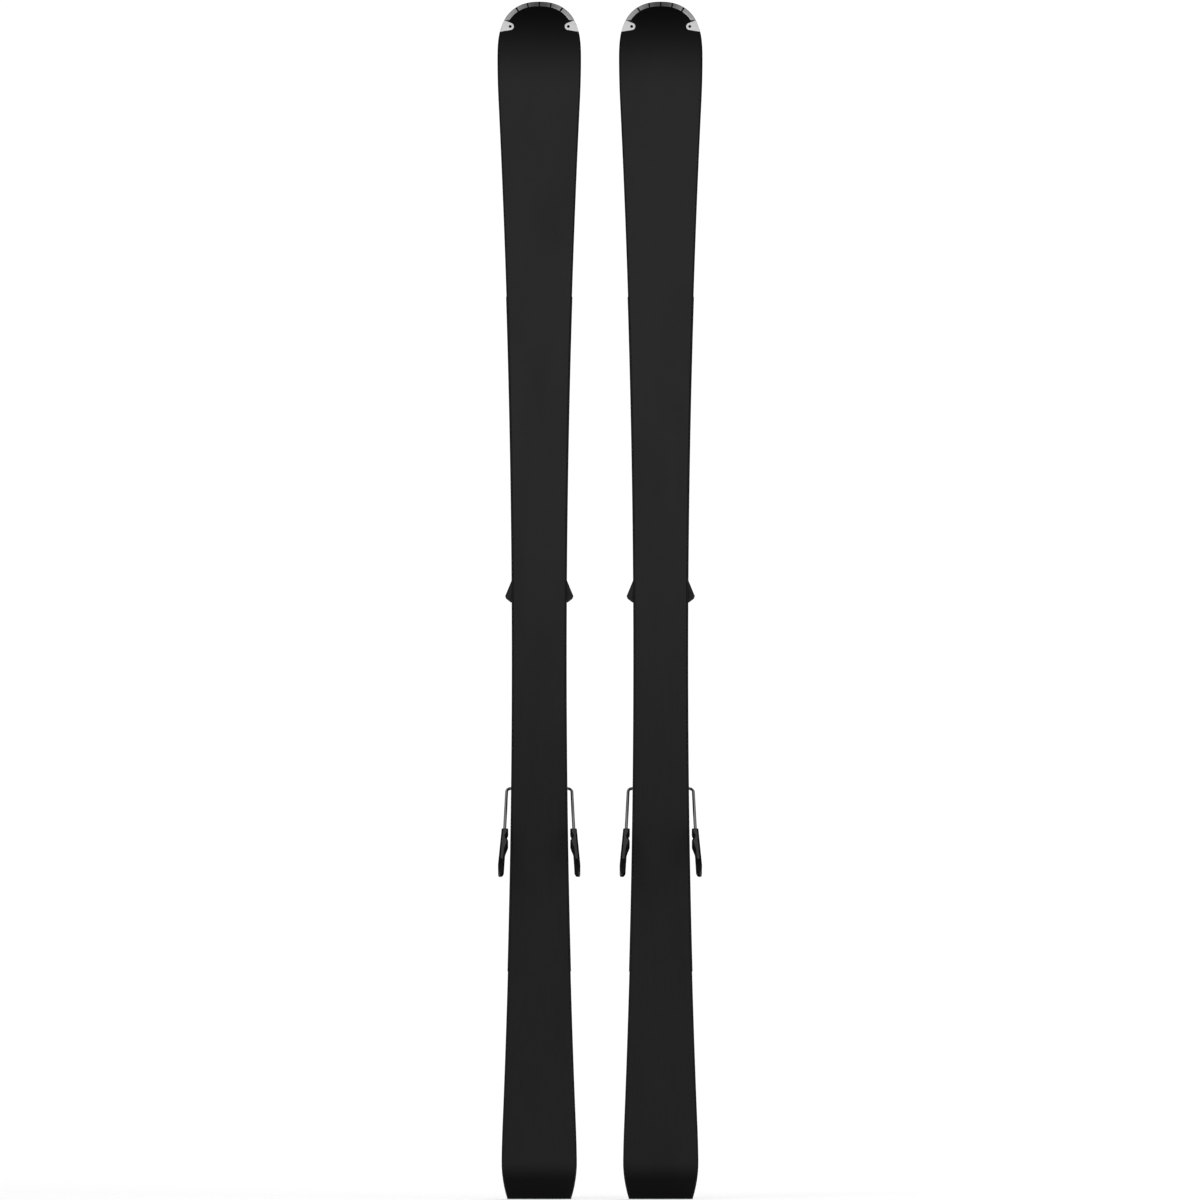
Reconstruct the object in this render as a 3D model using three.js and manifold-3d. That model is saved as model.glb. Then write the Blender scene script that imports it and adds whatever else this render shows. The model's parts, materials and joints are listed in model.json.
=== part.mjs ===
// A pair of alpine skis with step-in bindings, standing on their tails.
// Millimetres. X runs across the skis, Y from the running bases towards the
// bindings, and Z from the tails to the tips.
import * as THREE from 'three';
import { mergeVertices } from 'three/addons/utils/BufferGeometryUtils.js';
import Module from 'manifold-3d';

const wasm = await Module();
wasm.setup();

// ---- Ski outline -----------------------------------------------------------
const SKI_LENGTH = 1660; // straight length from tail to tip
const SKI_SPACING = 168.4; // from centre line to centre line
const WAIST_HALF = 37.5; // half width at the waist, over the steel edges
const WAIST_FROM_TIP = 910;
const SIDECUT_RADIUS = 15700;
const SHOVEL_HALF = 57.95; // half of the widest width in front
const SHOVEL_FROM_TIP = 83;
const TIP_POWER = 3; // how blunt the tip is
const TIP_ROOT = 0.4385; // how square its shoulders are
const TAIL_HALF = 52.35; // half of the widest width behind
const TAIL_ROUND_LENGTH = 52.6; // rounded stretch ahead of the tail's end
const TAIL_ROUND_RADIUS = 169.5;
const OUTLINE_BLEND = 1.5; // softens where the curves of the outline meet

// ---- Ski side view ---------------------------------------------------------
const CAMBER = 4;
const FRONT_CONTACT_FROM_TIP = 135;
const REAR_CONTACT = 54; // from the tail
const TIP_RISE = 48;
const TIP_RISE_POWER = 2;
const TAIL_RISE = 9;
const CORE_THICK = 10.5; // under the binding
const CORE_TIP_THICK = 1.8;
const CORE_TAIL_THICK = 2.4;

// ---- Laminate --------------------------------------------------------------
const BASE_THICK = 1.8;
const EDGE_WIDTH = 2.2;
const SHEET_THICK = 0.8;
const LAYER_GAP = 0.1; // glue line between layers
const CAP_GAP = 0.6; // between the core and the sides of the cap
const SIDEWALL_THICK = 4.4;
const SIDEWALL_PROUD = 0.6; // how far the sidewall stands out past the edge
const SIDEWALL_SHOULDER = 1.2; // top of the sidewall below the top of the core
const SIDEWALL_LEAN = 0.15; // lean of its outside, as a share of its height
const SIDEWALL_START = 314.5; // from the tail
const SIDEWALL_END_FROM_TIP = 408.8;
const CAP_LEAN = 0.28; // lean of the cap's sides, the same way
const CAP_STEP = 0.5; // half the length over which the cap turns into sidewall

// ---- Tip guard -------------------------------------------------------------
const GUARD_WIDTH = 6.5;
const GUARD_HALF_SPAN = 46.6;
const GUARD_STEPS = 20;
const LUG_ROUND_X = 40.3;
const LUG_ROUND_FROM_TIP = 34.6;
const LUG_ROUND_RADIUS = 5;
const LUG_HOLE_RADIUS = 2;
const LUG_START_FROM_TIP = 26;
const LUG_END_FROM_TIP = 42;

// ---- Boot and binding ------------------------------------------------------
const SOLE_LENGTH = 305;
const SOLE_CENTRE = 705.5; // from the tail to the middle of the boot sole
const TOE_SOLE_HEIGHT = 19; // thickness of the boot sole at the toe
const HEEL_SOLE_HEIGHT = 30; // and at the heel
const FIT_GAP = 0.3; // between pieces that touch
const PLATE_HALF = 29;
const PLATE_THICK = 3.5;
const RAIL_NECK_HALF = 18;
const RAIL_NECK_HEIGHT = 2;
const RAIL_HEAD_HALF = 22;
const RAIL_HEAD_HEIGHT = 2.5;
const RAIL_END_MARGIN = 5;
const FLAT_MARGIN = 12; // flat stretch of ski past each end of the plate
const SADDLE_CHAMFER = 2;

// ---- Toe piece -------------------------------------------------------------
const TOE_BASE_HALF = 31;
const TOE_BODY_LENGTH = 88;
const TOE_BODY_GAP = 4; // from the boot's toe to the housing
const TOE_LIP = 10; // how far the lip reaches back over the boot's toe
const PAD_HALF = 27;
const PAD_LENGTH = 32;
const PAD_THICK = 5.7;
const PAD_FRONT = 20; // behind the boot's toe
const PAD_KEY = 8; // half width of the key that guides it
const PAD_KEY_DEPTH = 4;
const PAD_REST = 2; // toe base behind the pad
const WING_PIVOT_X = 21;
const WING_PIVOT_AHEAD = 22; // ahead of the boot's toe
const WING_BOSS_RADIUS = 8;
const WING_PIN_RADIUS = 3;
const WING_RECESS_INNER = 12;
const WING_ROOM = 0.6; // under the wings, and a little more above them
const TOE_ROOF_RISE = 19.5; // roof of the toe housing above the wings
const TOE_SCREW_RISE = 17; // screw's axis above the toe base
const TOE_SPRING_BEHIND = 14; // room for the spring behind the housing's front
const TOE_SPRING_AHEAD = 16; // and ahead of the wings' pivots
const TOE_SPRING_CLEARANCE = 3;
const TOE_SCREW_SHANK = 30;
const SCREW_SUNK = 1.5; // face of a screw behind the face of its housing

// ---- Heel piece ------------------------------------------------------------
const CARRIAGE_HALF = 30;
const CARRIAGE_ROOF = 4.4; // over the rail's head
const CARRIAGE_LENGTH = 129;
const CARRIAGE_AHEAD = 31; // its front end ahead of the boot's heel end
const CARRIAGE_TRAVEL = 20; // each way, to suit the boot
const HEEL_PIN_BEHIND = 41; // behind the boot's heel end
const HEEL_PIN_RISE = 7; // above the carriage
const HEEL_PIN_RADIUS = 3;
const CHEEK_INNER = 18.5;
const CHEEK_THICK = 6.5;
const CHEEK_HEIGHT = 10; // above the pin
const HEEL_NARROW_HALF = 18.2;
const HEEL_WIDE_HALF = 24;
const HEEL_OPEN_ANGLE = 30; // degrees that the heel tips back when open
const CUP_WALL = 7.3;
const CUP_RADIUS = 36.4; // round the boot's heel
const CUP_CLEARANCE = 0.4;
const LEVER_PIVOT_BEHIND = 27;
const LEVER_PIVOT_RISE = 6; // above the housing's roof
const LEVER_REST_ANGLE = 38; // degrees above the heel housing when open
const LEVER_LENGTH = 78;
const EAR_INNER = 14;
const EAR_THICK = 6;
const EAR_RADIUS = 6.5;
const HEEL_ROOF_RISE = 14; // roof of the heel housing above the boot's ledge
const HEEL_REAR = -40; // from the heel pin
const HEEL_SCREW_HEIGHT = 28; // above the heel pin
const HEEL_SCREW_SHANK = 28;
const HEEL_SCREW_SUNK = 2;
const HEEL_SPRING_START = -19;
const HEEL_SPRING_FRONT_ROOM = 10;

// ---- Springs and screws ----------------------------------------------------
const SPRING_RADIUS = 7.5;
const SPRING_WIRE_RADIUS = 1.2;
const SCREW_HEAD_RADIUS = 6.5;
const SCREW_HEAD_LENGTH = 7.5;
const SCREW_SHANK_RADIUS = 2.8;
const SCREW_SLOT = 1.6;
const SPRING_ROOM = 10.5; // half width of the room round a spring

// ---- Brake -----------------------------------------------------------------
const BRAKE_AHEAD = 15.8; // its axle ahead of the boot's heel end
const BRAKE_AXLE_RISE = 4; // above the carriage
const BRAKE_WIRE_RADIUS = 2.25;
const BRAKE_ARM_GAP = 3.6; // between a folded arm and the ski's side
const BRAKE_BEND_RADIUS = 6;
const BRAKE_ARM_REACH = 138;
const BRAKE_ARM_SPREAD = 6; // outward lean of an arm over its reach
const BRAKE_OPEN_ANGLE = 35; // degrees that the arms point past the base
const BRAKE_CRANK_HALF = 17;
const BRAKE_CRANK_REACH = 31;
const BRAKE_BASE_BEHIND = 6.8;
const BRAKE_BASE_AHEAD = 13.2;
const BRAKE_FLOOR = 1.1;
const PEDAL_HALF = 21;
const PEDAL_BACK = 15; // from the axle
const PEDAL_FRONT = 42;
const PEDAL_UNDER = 3.3; // pedal below the axle
const PEDAL_OVER = 5; // and above it
const BRAKE_PAD_START = -69;

// ---- Heights and stations that follow from the sizes above ------------------
const TOE_END = SOLE_CENTRE + SOLE_LENGTH / 2;
const HEEL_END = SOLE_CENTRE - SOLE_LENGTH / 2;
const CARRIAGE_FRONT = HEEL_END + CARRIAGE_AHEAD;
const CARRIAGE_REAR = CARRIAGE_FRONT - CARRIAGE_LENGTH;
const TOE_BODY_REAR = TOE_END + TOE_BODY_GAP;
const TOE_BODY_FRONT = TOE_BODY_REAR + TOE_BODY_LENGTH;
const PLATE_REAR = CARRIAGE_REAR - CARRIAGE_TRAVEL - RAIL_END_MARGIN;
const PLATE_FRONT = TOE_BODY_FRONT + RAIL_END_MARGIN;
const FLAT_REAR = PLATE_REAR - FLAT_MARGIN;
const FLAT_FRONT = PLATE_FRONT + FLAT_MARGIN;
const PLATE_TOP = FIT_GAP + PLATE_THICK;
const NECK_TOP = PLATE_TOP + RAIL_NECK_HEIGHT;
const RAIL_TOP = NECK_TOP + RAIL_HEAD_HEIGHT;
const DECK = CAMBER + BASE_THICK + 2 * LAYER_GAP + CORE_THICK + SHEET_THICK;
const CARRIAGE_TOP = RAIL_TOP + FIT_GAP + CARRIAGE_ROOF;
const BRAKE_AXLE_HEIGHT = CARRIAGE_TOP + BRAKE_AXLE_RISE;
const SOLE_PLANE = BRAKE_AXLE_HEIGHT + PEDAL_OVER; // underside of the boot
const TOE_BASE_TOP = SOLE_PLANE - PAD_THICK - FIT_GAP;
const TOE_SCREW_HEIGHT = TOE_BASE_TOP + TOE_SCREW_RISE;
const WING_BOTTOM = SOLE_PLANE + WING_ROOM;
const WING_TOP = SOLE_PLANE + TOE_SOLE_HEIGHT + 0.5;
const TOE_ROOF = WING_TOP + TOE_ROOF_RISE;
const HEEL_PIN_HEIGHT = CARRIAGE_TOP + HEEL_PIN_RISE;
const LEDGE = SOLE_PLANE + HEEL_SOLE_HEIGHT - HEEL_PIN_HEIGHT; // above the heel pin
const HEEL_ROOF = LEDGE + HEEL_ROOF_RISE;
const LEVER_PIVOT_HEIGHT = HEEL_ROOF + LEVER_PIVOT_RISE;
const WING_PIVOT_Z = TOE_END + WING_PIVOT_AHEAD;
const BRAKE_AXLE_Z = HEEL_END + BRAKE_AHEAD;
const HEEL_PIN_Z = HEEL_END - HEEL_PIN_BEHIND;

// ---- Materials ---------------------------------------------------------------
const finish = (color, roughness, metalness = 0) => () =>
  new THREE.MeshStandardMaterial({ color, roughness, metalness });
const baseBlack = finish(0x242424, 0.5);
const edgeSteel = finish(0x16171a, 0.35, 0.9);
const coreWood = finish(0xb98f5c, 0.7);
const sidewallBlack = finish(0x1a1a1b, 0.55);
const topLacquer = finish(0x1d1e20, 0.3);
const guardMetal = finish(0x8f9194, 0.35, 0.9);
const lugChrome = finish(0xe4e6e8, 0.15, 1);
const bindingPlastic = finish(0x1c1c1e, 0.5);
const wingPlastic = finish(0x2a2b2d, 0.45);
const springSteel = finish(0x9a9da1, 0.3, 1);
const padGrey = finish(0xc9cacb, 0.4);
const brakePlastic = finish(0x202123, 0.6);

// ---- Solids -----------------------------------------------------------------
function toSolid(geometry) {
  const bare = geometry.clone();
  bare.deleteAttribute('normal');
  bare.deleteAttribute('uv');
  const merged = mergeVertices(bare, 1e-4);
  const vertProperties = new Float32Array(merged.attributes.position.array);
  const triVerts = new Uint32Array(merged.index.array);
  return new wasm.Manifold(new wasm.Mesh({ numProp: 3, vertProperties, triVerts }));
}

function toGeometry(solid) {
  const mesh = solid.getMesh();
  const geometry = new THREE.BufferGeometry();
  geometry.setAttribute('position', new THREE.BufferAttribute(mesh.vertProperties, 3));
  geometry.setIndex(new THREE.BufferAttribute(mesh.triVerts, 1));
  return geometry;
}

/** Union of the first list of shapes with the second list cut away. */
function carve(keep, remove = []) {
  let solid = toSolid(keep[0]);
  for (const shape of keep.slice(1)) solid = solid.add(toSolid(shape));
  for (const shape of remove) solid = solid.subtract(toSolid(shape));
  return toGeometry(solid);
}

const common = (a, b) => toGeometry(toSolid(a).intersect(toSolid(b)));

// ---- Shapes -----------------------------------------------------------------
const toShape = (points) => new THREE.Shape(points.map(([a, b]) => new THREE.Vector2(a, b)));

function extrude(points, depth, holes = []) {
  const shape = toShape(points);
  shape.holes = holes.map((hole) => new THREE.Path(hole.map(([a, b]) => new THREE.Vector2(a, b))));
  return new THREE.ExtrudeGeometry(shape, { depth, bevelEnabled: false });
}

/** Outline of [x, y] points run from z0 to z1. */
const alongZ = (points, z0, z1) => extrude(points, z1 - z0).translate(0, 0, z0);

/** Outline of [x, z] points raised from y0 to y1. */
const alongY = (points, y0, y1, holes = []) =>
  extrude(points, y1 - y0, holes).rotateX(Math.PI / 2).translate(0, y1, 0);

/** Outline of [z, y] points run from x0 to x1. */
const alongX = (points, x0, x1) => extrude(points, x1 - x0).rotateY(-Math.PI / 2).translate(x1, 0, 0);

function box(x0, x1, y0, y1, z0, z1) {
  const geometry = new THREE.BoxGeometry(x1 - x0, y1 - y0, z1 - z0);
  return geometry.translate((x0 + x1) / 2, (y0 + y1) / 2, (z0 + z1) / 2);
}

const rodX = (radius, x0, x1, y, z, sides = 14) =>
  new THREE.CylinderGeometry(radius, radius, x1 - x0, sides)
    .rotateZ(Math.PI / 2)
    .translate((x0 + x1) / 2, y, z);

const rodY = (radius, x, y0, y1, z, sides = 14) =>
  new THREE.CylinderGeometry(radius, radius, y1 - y0, sides).translate(x, (y0 + y1) / 2, z);

const rodZ = (radius, x, y, z0, z1, sides = 14) =>
  new THREE.CylinderGeometry(radius, radius, z1 - z0, sides)
    .rotateX(Math.PI / 2)
    .translate(x, y, (z0 + z1) / 2);

/** Points of an arc about [a, b], with angles in degrees. */
function arc(a, b, radius, from, to, steps) {
  const points = [];
  for (let i = 0; i <= steps; i++) {
    const angle = THREE.MathUtils.degToRad(from + ((to - from) * i) / steps);
    points.push([a + radius * Math.cos(angle), b + radius * Math.sin(angle)]);
  }
  return points;
}

/** The points with each inner corner of the line rounded off. */
function roundLine(points, radius, steps) {
  const line = [points[0]];
  for (let i = 1; i < points.length - 1; i++) {
    const corner = new THREE.Vector2(...points[i]);
    const before = new THREE.Vector2(...points[i - 1]).sub(corner).setLength(radius).add(corner);
    const after = new THREE.Vector2(...points[i + 1]).sub(corner).setLength(radius).add(corner);
    const bend = new THREE.QuadraticBezierCurve(before, corner, after);
    for (const point of bend.getPoints(steps)) line.push([point.x, point.y]);
  }
  line.push(points[points.length - 1]);
  return line;
}

/** A closed outline with every corner rounded off. */
function roundLoop(points, radius, steps = 2) {
  const count = points.length;
  const first = [
    (points[0][0] + points[count - 1][0]) / 2,
    (points[0][1] + points[count - 1][1]) / 2,
  ];
  return roundLine([first, ...points, first], radius, steps).slice(0, -1);
}

const mirrored = (points) => points.map(([x, b]) => [-x, b]).reverse();

/** A body through sections that share the corners of one outline, anticlockwise about +Z. */
function loft(outline, sections) {
  const last = sections.length - 1;
  const shape = toShape(outline);
  const geometry = new THREE.ExtrudeGeometry(shape, { depth: last, steps: last, bevelEnabled: false });
  const position = geometry.attributes.position;
  for (let i = 0; i < position.count; i++) {
    const distance = ([u, v]) => Math.hypot(u - position.getX(i), v - position.getY(i));
    const corner = outline.findIndex((point) => distance(point) < 1e-3);
    position.setXYZ(i, ...sections[Math.round(position.getZ(i))][corner]);
  }
  return geometry;
}

/** A round bar along a line of [x, z] points in the plane y = 0. */
function barAlong(line, radius, sides = 8) {
  const ring = arc(0, 0, radius, 0, 360, sides).slice(0, -1);
  const sections = line.map(([x, z], i) => {
    const [x0, z0] = line[Math.max(i - 1, 0)];
    const [x1, z1] = line[Math.min(i + 1, line.length - 1)];
    const length = Math.hypot(x1 - x0, z1 - z0);
    const side = [(z1 - z0) / length, -(x1 - x0) / length];
    return ring.map(([u, v]) => [x + side[0] * u, v, z + side[1] * u]);
  });
  return loft(ring, sections);
}

// ---- Ski curves ---------------------------------------------------------------
function softMin(a, b) {
  const overlap = Math.max(OUTLINE_BLEND - Math.abs(a - b), 0);
  return Math.min(a, b) - (overlap * overlap) / (4 * OUTLINE_BLEND);
}

/** Half width over the edges at height z. */
function halfWidth(z) {
  const fromTip = SKI_LENGTH - z;
  const sidecut = WAIST_HALF + (fromTip - WAIST_FROM_TIP) ** 2 / (2 * SIDECUT_RADIUS);
  const ahead = Math.max((SHOVEL_FROM_TIP - fromTip) / SHOVEL_FROM_TIP, 0);
  const tip = SHOVEL_HALF * (1 - ahead ** TIP_POWER) ** TIP_ROOT;
  const tail = TAIL_HALF - Math.max(TAIL_ROUND_LENGTH - z, 0) ** 2 / (2 * TAIL_ROUND_RADIUS);
  return z > SKI_LENGTH / 2 ? softMin(sidecut, tip) : softMin(sidecut, tail);
}

/** Height z of the tip's outline at a distance x from the centre line. */
function tipOutline(x) {
  const ahead = (1 - (Math.abs(x) / SHOVEL_HALF) ** (1 / TIP_ROOT)) ** (1 / TIP_POWER);
  return SKI_LENGTH - SHOVEL_FROM_TIP * (1 - ahead);
}

const ease = (t) => (1 + Math.cos(Math.PI * THREE.MathUtils.clamp(t, 0, 1))) / 2;

/** How far the running base stands off its two contact lines at height z. */
function baseLine(z) {
  const frontContact = SKI_LENGTH - FRONT_CONTACT_FROM_TIP;
  const front = ease((z - FLAT_FRONT) / (frontContact - FLAT_FRONT));
  const rear = ease((FLAT_REAR - z) / (FLAT_REAR - REAR_CONTACT));
  const tip = TIP_RISE * Math.max((z - frontContact) / FRONT_CONTACT_FROM_TIP, 0) ** TIP_RISE_POWER;
  const tail = TAIL_RISE * Math.max((REAR_CONTACT - z) / REAR_CONTACT, 0) ** 2;
  return CAMBER * Math.min(front, rear) + tip + tail;
}

function coreThickness(z) {
  const front = ease((z - FLAT_FRONT) / (SKI_LENGTH - FLAT_FRONT));
  const rear = ease((FLAT_REAR - z) / FLAT_REAR);
  if (z > FLAT_FRONT) return CORE_TIP_THICK + (CORE_THICK - CORE_TIP_THICK) * front;
  return CORE_TAIL_THICK + (CORE_THICK - CORE_TAIL_THICK) * rear;
}

const SIDEWALL_END = SKI_LENGTH - SIDEWALL_END_FROM_TIP;
const TIP_STEPS = 9;
const TIP_CUT = 0.2; // the layers stop this far short of the tip's very end

function spread(from, to, count, power = 1) {
  return Array.from({ length: count + 1 }, (_, i) => from + (to - from) * (i / count) ** power);
}

const fromTip = (s) => SKI_LENGTH - Math.max(s ** 2 / SHOVEL_FROM_TIP, TIP_CUT);

const STATIONS = [
  ...spread(0, REAR_CONTACT, 4),
  ...spread(REAR_CONTACT, SIDEWALL_START - CAP_STEP, 3),
  ...spread(SIDEWALL_START + CAP_STEP, FLAT_REAR, 2),
  ...spread(FLAT_FRONT, SIDEWALL_END - CAP_STEP, 3),
  ...spread(SIDEWALL_END + CAP_STEP, SKI_LENGTH - FRONT_CONTACT_FROM_TIP, 2),
  ...spread(SKI_LENGTH - FRONT_CONTACT_FROM_TIP, SKI_LENGTH - SHOVEL_FROM_TIP, 3),
  ...spread(SHOVEL_FROM_TIP, 0, TIP_STEPS, 0.5).map(fromTip),
  ...spread(FLAT_REAR, FLAT_FRONT, 3),
].sort((a, b) => a - b);

/** Stations from one height to another, with both ends and none closer than a step. */
function stationsBetween(from, to) {
  const least = 2 * CAP_STEP - 0.01;
  const apart = (z, i) => i === 0 || z - STATIONS[i - 1] > 0.01;
  const inner = STATIONS.filter((z, i) => z > from + least && z < to - 0.3 && apart(z, i));
  return [from, ...inner, to];
}

const inSidewall = (z) => z > SIDEWALL_START && z < SIDEWALL_END;
const SKI_TOP = SKI_LENGTH - TIP_CUT;

/** A layer of the ski whose section at z is a list of [x, y] above the running base. */
function layer(from, to, sectionAt) {
  const sections = stationsBetween(from, to).map((z) =>
    sectionAt(z).map(([x, y]) => [x, y + baseLine(z), z])
  );
  const outline = sections[0].map(([x, y]) => [x, y]);
  return loft(outline, sections);
}

const slab = (x0, x1, y0, y1) => [[x0, y0], [x1, y0], [x1, y1], [x0, y1]];

// ---- Ski pieces ---------------------------------------------------------------
/** Outline of a tip lug in [x, z], grown by a gap. */
function lugOutline(gap) {
  const roundZ = SKI_LENGTH - LUG_ROUND_FROM_TIP;
  const top = SKI_LENGTH - LUG_START_FROM_TIP + gap;
  const bottom = SKI_LENGTH - LUG_END_FROM_TIP - gap;
  const side = spread(bottom, top, 4).map((z) => [halfWidth(z) - FIT_GAP + gap, z]);
  return [...side, ...arc(LUG_ROUND_X, roundZ, LUG_ROUND_RADIUS + gap, 105, 262, 8)];
}

/** Raises a plan outline into a plate that follows the rise of the running base. */
function tipPlate(points, holes, y0, y1) {
  const geometry = alongY(points, y0, y1, holes);
  const position = geometry.attributes.position;
  for (let i = 0; i < position.count; i++) {
    position.setY(i, position.getY(i) + baseLine(position.getZ(i)));
  }
  return geometry;
}

function tipLug() {
  const roundZ = SKI_LENGTH - LUG_ROUND_FROM_TIP;
  const hole = arc(LUG_ROUND_X, roundZ, LUG_HOLE_RADIUS, 360, 0, 12).slice(0, -1);
  return tipPlate(lugOutline(0), [hole], 0, BASE_THICK);
}

/** A point of the tip's outline, moved inwards by a distance. */
function insetTip(x, inset) {
  const step = 0.05;
  const slope = (tipOutline(x + step) - tipOutline(x - step)) / (2 * step);
  const length = Math.hypot(slope, 1);
  return [x + (inset * slope) / length, tipOutline(x) - inset / length];
}

function tipGuard() {
  const outline = [[0, 0], [1, 0], [1, 1], [0, 1]];
  const sections = spread(-GUARD_HALF_SPAN, GUARD_HALF_SPAN, GUARD_STEPS).map((x) =>
    outline.map(([u, v]) => {
      const [px, pz] = insetTip(x, GUARD_WIDTH * u);
      return [px, baseLine(pz) + BASE_THICK * v, pz];
    })
  );
  return loft(outline, sections);
}

/** Everything outside the guard's inner line, as an upright block. */
function guardRoom() {
  const inset = GUARD_WIDTH + FIT_GAP;
  const line = spread(-GUARD_HALF_SPAN, GUARD_HALF_SPAN, GUARD_STEPS).map((x) => insetTip(x, inset));
  const outside = SHOVEL_HALF + 5;
  const low = line[0][1];
  const high = SKI_LENGTH + 5;
  const ring = [...line, [outside, low], [outside, high], [-outside, high], [-outside, low]];
  return alongY(ring.reverse(), -1, TIP_RISE + BASE_THICK + 2);
}

function baseSheet() {
  const sheet = layer(0, SKI_TOP, (z) => {
    const half = Math.max(halfWidth(z) - EDGE_WIDTH - LAYER_GAP, 1);
    return slab(-half, half, 0, BASE_THICK);
  });
  const lug = lugOutline(FIT_GAP);
  const high = TIP_RISE + BASE_THICK + 2;
  return carve([sheet], [guardRoom(), alongY(lug, -1, high), alongY(mirrored(lug), -1, high)]);
}

function steelEdge(side) {
  const top = SKI_LENGTH - LUG_END_FROM_TIP - 2 * FIT_GAP;
  return layer(0, top, (z) => {
    const outer = side * halfWidth(z);
    const inner = side * (halfWidth(z) - EDGE_WIDTH);
    return slab(Math.min(outer, inner), Math.max(outer, inner), 0, BASE_THICK);
  });
}

function woodCore() {
  const bottom = BASE_THICK + LAYER_GAP;
  return layer(0, SKI_TOP, (z) => {
    const inset = inSidewall(z) ? SIDEWALL_THICK + 2 * LAYER_GAP : SHEET_THICK + CAP_GAP;
    const lean = inSidewall(z) ? SIDEWALL_LEAN : CAP_LEAN;
    const thick = coreThickness(z);
    const foot = Math.max(halfWidth(z) - inset, 2);
    const crown = foot - lean * thick;
    const top = bottom + thick;
    return [[-foot, bottom], [foot, bottom], [crown, top], [-crown, top]];
  });
}

function sidewall(side) {
  const bottom = BASE_THICK + LAYER_GAP;
  const start = SIDEWALL_START + 2 * CAP_STEP;
  const end = SIDEWALL_END - 2 * CAP_STEP;
  return layer(start, end, (z) => {
    const height = coreThickness(z) - SIDEWALL_SHOULDER;
    const top = bottom + height;
    const outer = halfWidth(z) + SIDEWALL_PROUD;
    const inner = halfWidth(z) - SIDEWALL_THICK;
    const points = [[inner, bottom], [outer, bottom], [outer - SIDEWALL_LEAN * height, top], [inner, top]];
    return side > 0 ? points : mirrored(points);
  });
}

function topSheet() {
  return layer(0, SKI_TOP, (z) => {
    const bottom = BASE_THICK + LAYER_GAP;
    const under = bottom + coreThickness(z) + LAYER_GAP;
    const top = under + SHEET_THICK;
    const leg = inSidewall(z) ? under - SHEET_THICK : bottom;
    const foot = Math.max(halfWidth(z) - LAYER_GAP, 3);
    const crown = foot - CAP_LEAN * (top - leg);
    const footInside = foot - SHEET_THICK;
    const crownInside = footInside - CAP_LEAN * (under - leg);
    return [
      [foot, leg], [crown, top], [-crown, top], [-foot, leg],
      [-footInside, leg], [-crownInside, under], [crownInside, under], [footInside, leg],
    ];
  });
}

// ---- Binding pieces, with heights above the ski's top --------------------------
function bindingPlate() {
  const half = [
    [PLATE_HALF, FIT_GAP], [PLATE_HALF, PLATE_TOP], [RAIL_NECK_HALF, PLATE_TOP],
    [RAIL_NECK_HALF, NECK_TOP], [RAIL_HEAD_HALF, NECK_TOP], [RAIL_HEAD_HALF, RAIL_TOP],
  ];
  return alongZ([...half, ...mirrored(half)], PLATE_REAR, PLATE_FRONT);
}

/** A saddle that slides on the rail, with its lips hooked under the rail's head. */
function railSaddle(halfWide, top, z0, z1) {
  const low = PLATE_TOP + FIT_GAP;
  const neck = RAIL_NECK_HALF + FIT_GAP;
  const head = RAIL_HEAD_HALF + FIT_GAP;
  const half = [
    [neck, NECK_TOP - FIT_GAP], [neck, low], [halfWide, low], [halfWide, top - SADDLE_CHAMFER],
    [halfWide - SADDLE_CHAMFER, top],
  ];
  const roof = [[head, RAIL_TOP + FIT_GAP], [head, NECK_TOP - FIT_GAP]];
  return alongZ([...roof, ...half, ...mirrored(half), ...mirrored(roof)], z0, z1);
}

function toeBase() {
  const rear = TOE_END - PAD_FRONT - PAD_LENGTH - PAD_REST;
  const padMiddle = TOE_END - PAD_FRONT - PAD_LENGTH / 2;
  const keyway = PAD_KEY + FIT_GAP;
  const reach = TOE_BASE_HALF + 1;
  const floor = TOE_BASE_TOP - PAD_KEY_DEPTH;
  const groove = box(-reach, reach, floor, TOE_BASE_TOP + 1, padMiddle - keyway, padMiddle + keyway);
  return carve([railSaddle(TOE_BASE_HALF, TOE_BASE_TOP, rear, TOE_BODY_FRONT)], [groove]);
}

function glidePad() {
  const front = TOE_END - PAD_FRONT;
  const middle = front - PAD_LENGTH / 2;
  const corners = slab(-PAD_HALF, PAD_HALF, front - PAD_LENGTH, front);
  const plate = alongY(roundLoop(corners, 4), TOE_BASE_TOP + FIT_GAP, SOLE_PLANE);
  const keyFoot = TOE_BASE_TOP - PAD_KEY_DEPTH + FIT_GAP;
  const key = box(-PAD_HALF / 2, PAD_HALF / 2, keyFoot, SOLE_PLANE - 2, middle - PAD_KEY, middle + PAD_KEY);
  return carve([plate, key]);
}

const RECESS_BOTTOM = WING_BOTTOM - WING_ROOM;
const RECESS_TOP = WING_TOP + WING_ROOM + 0.2;

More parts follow.
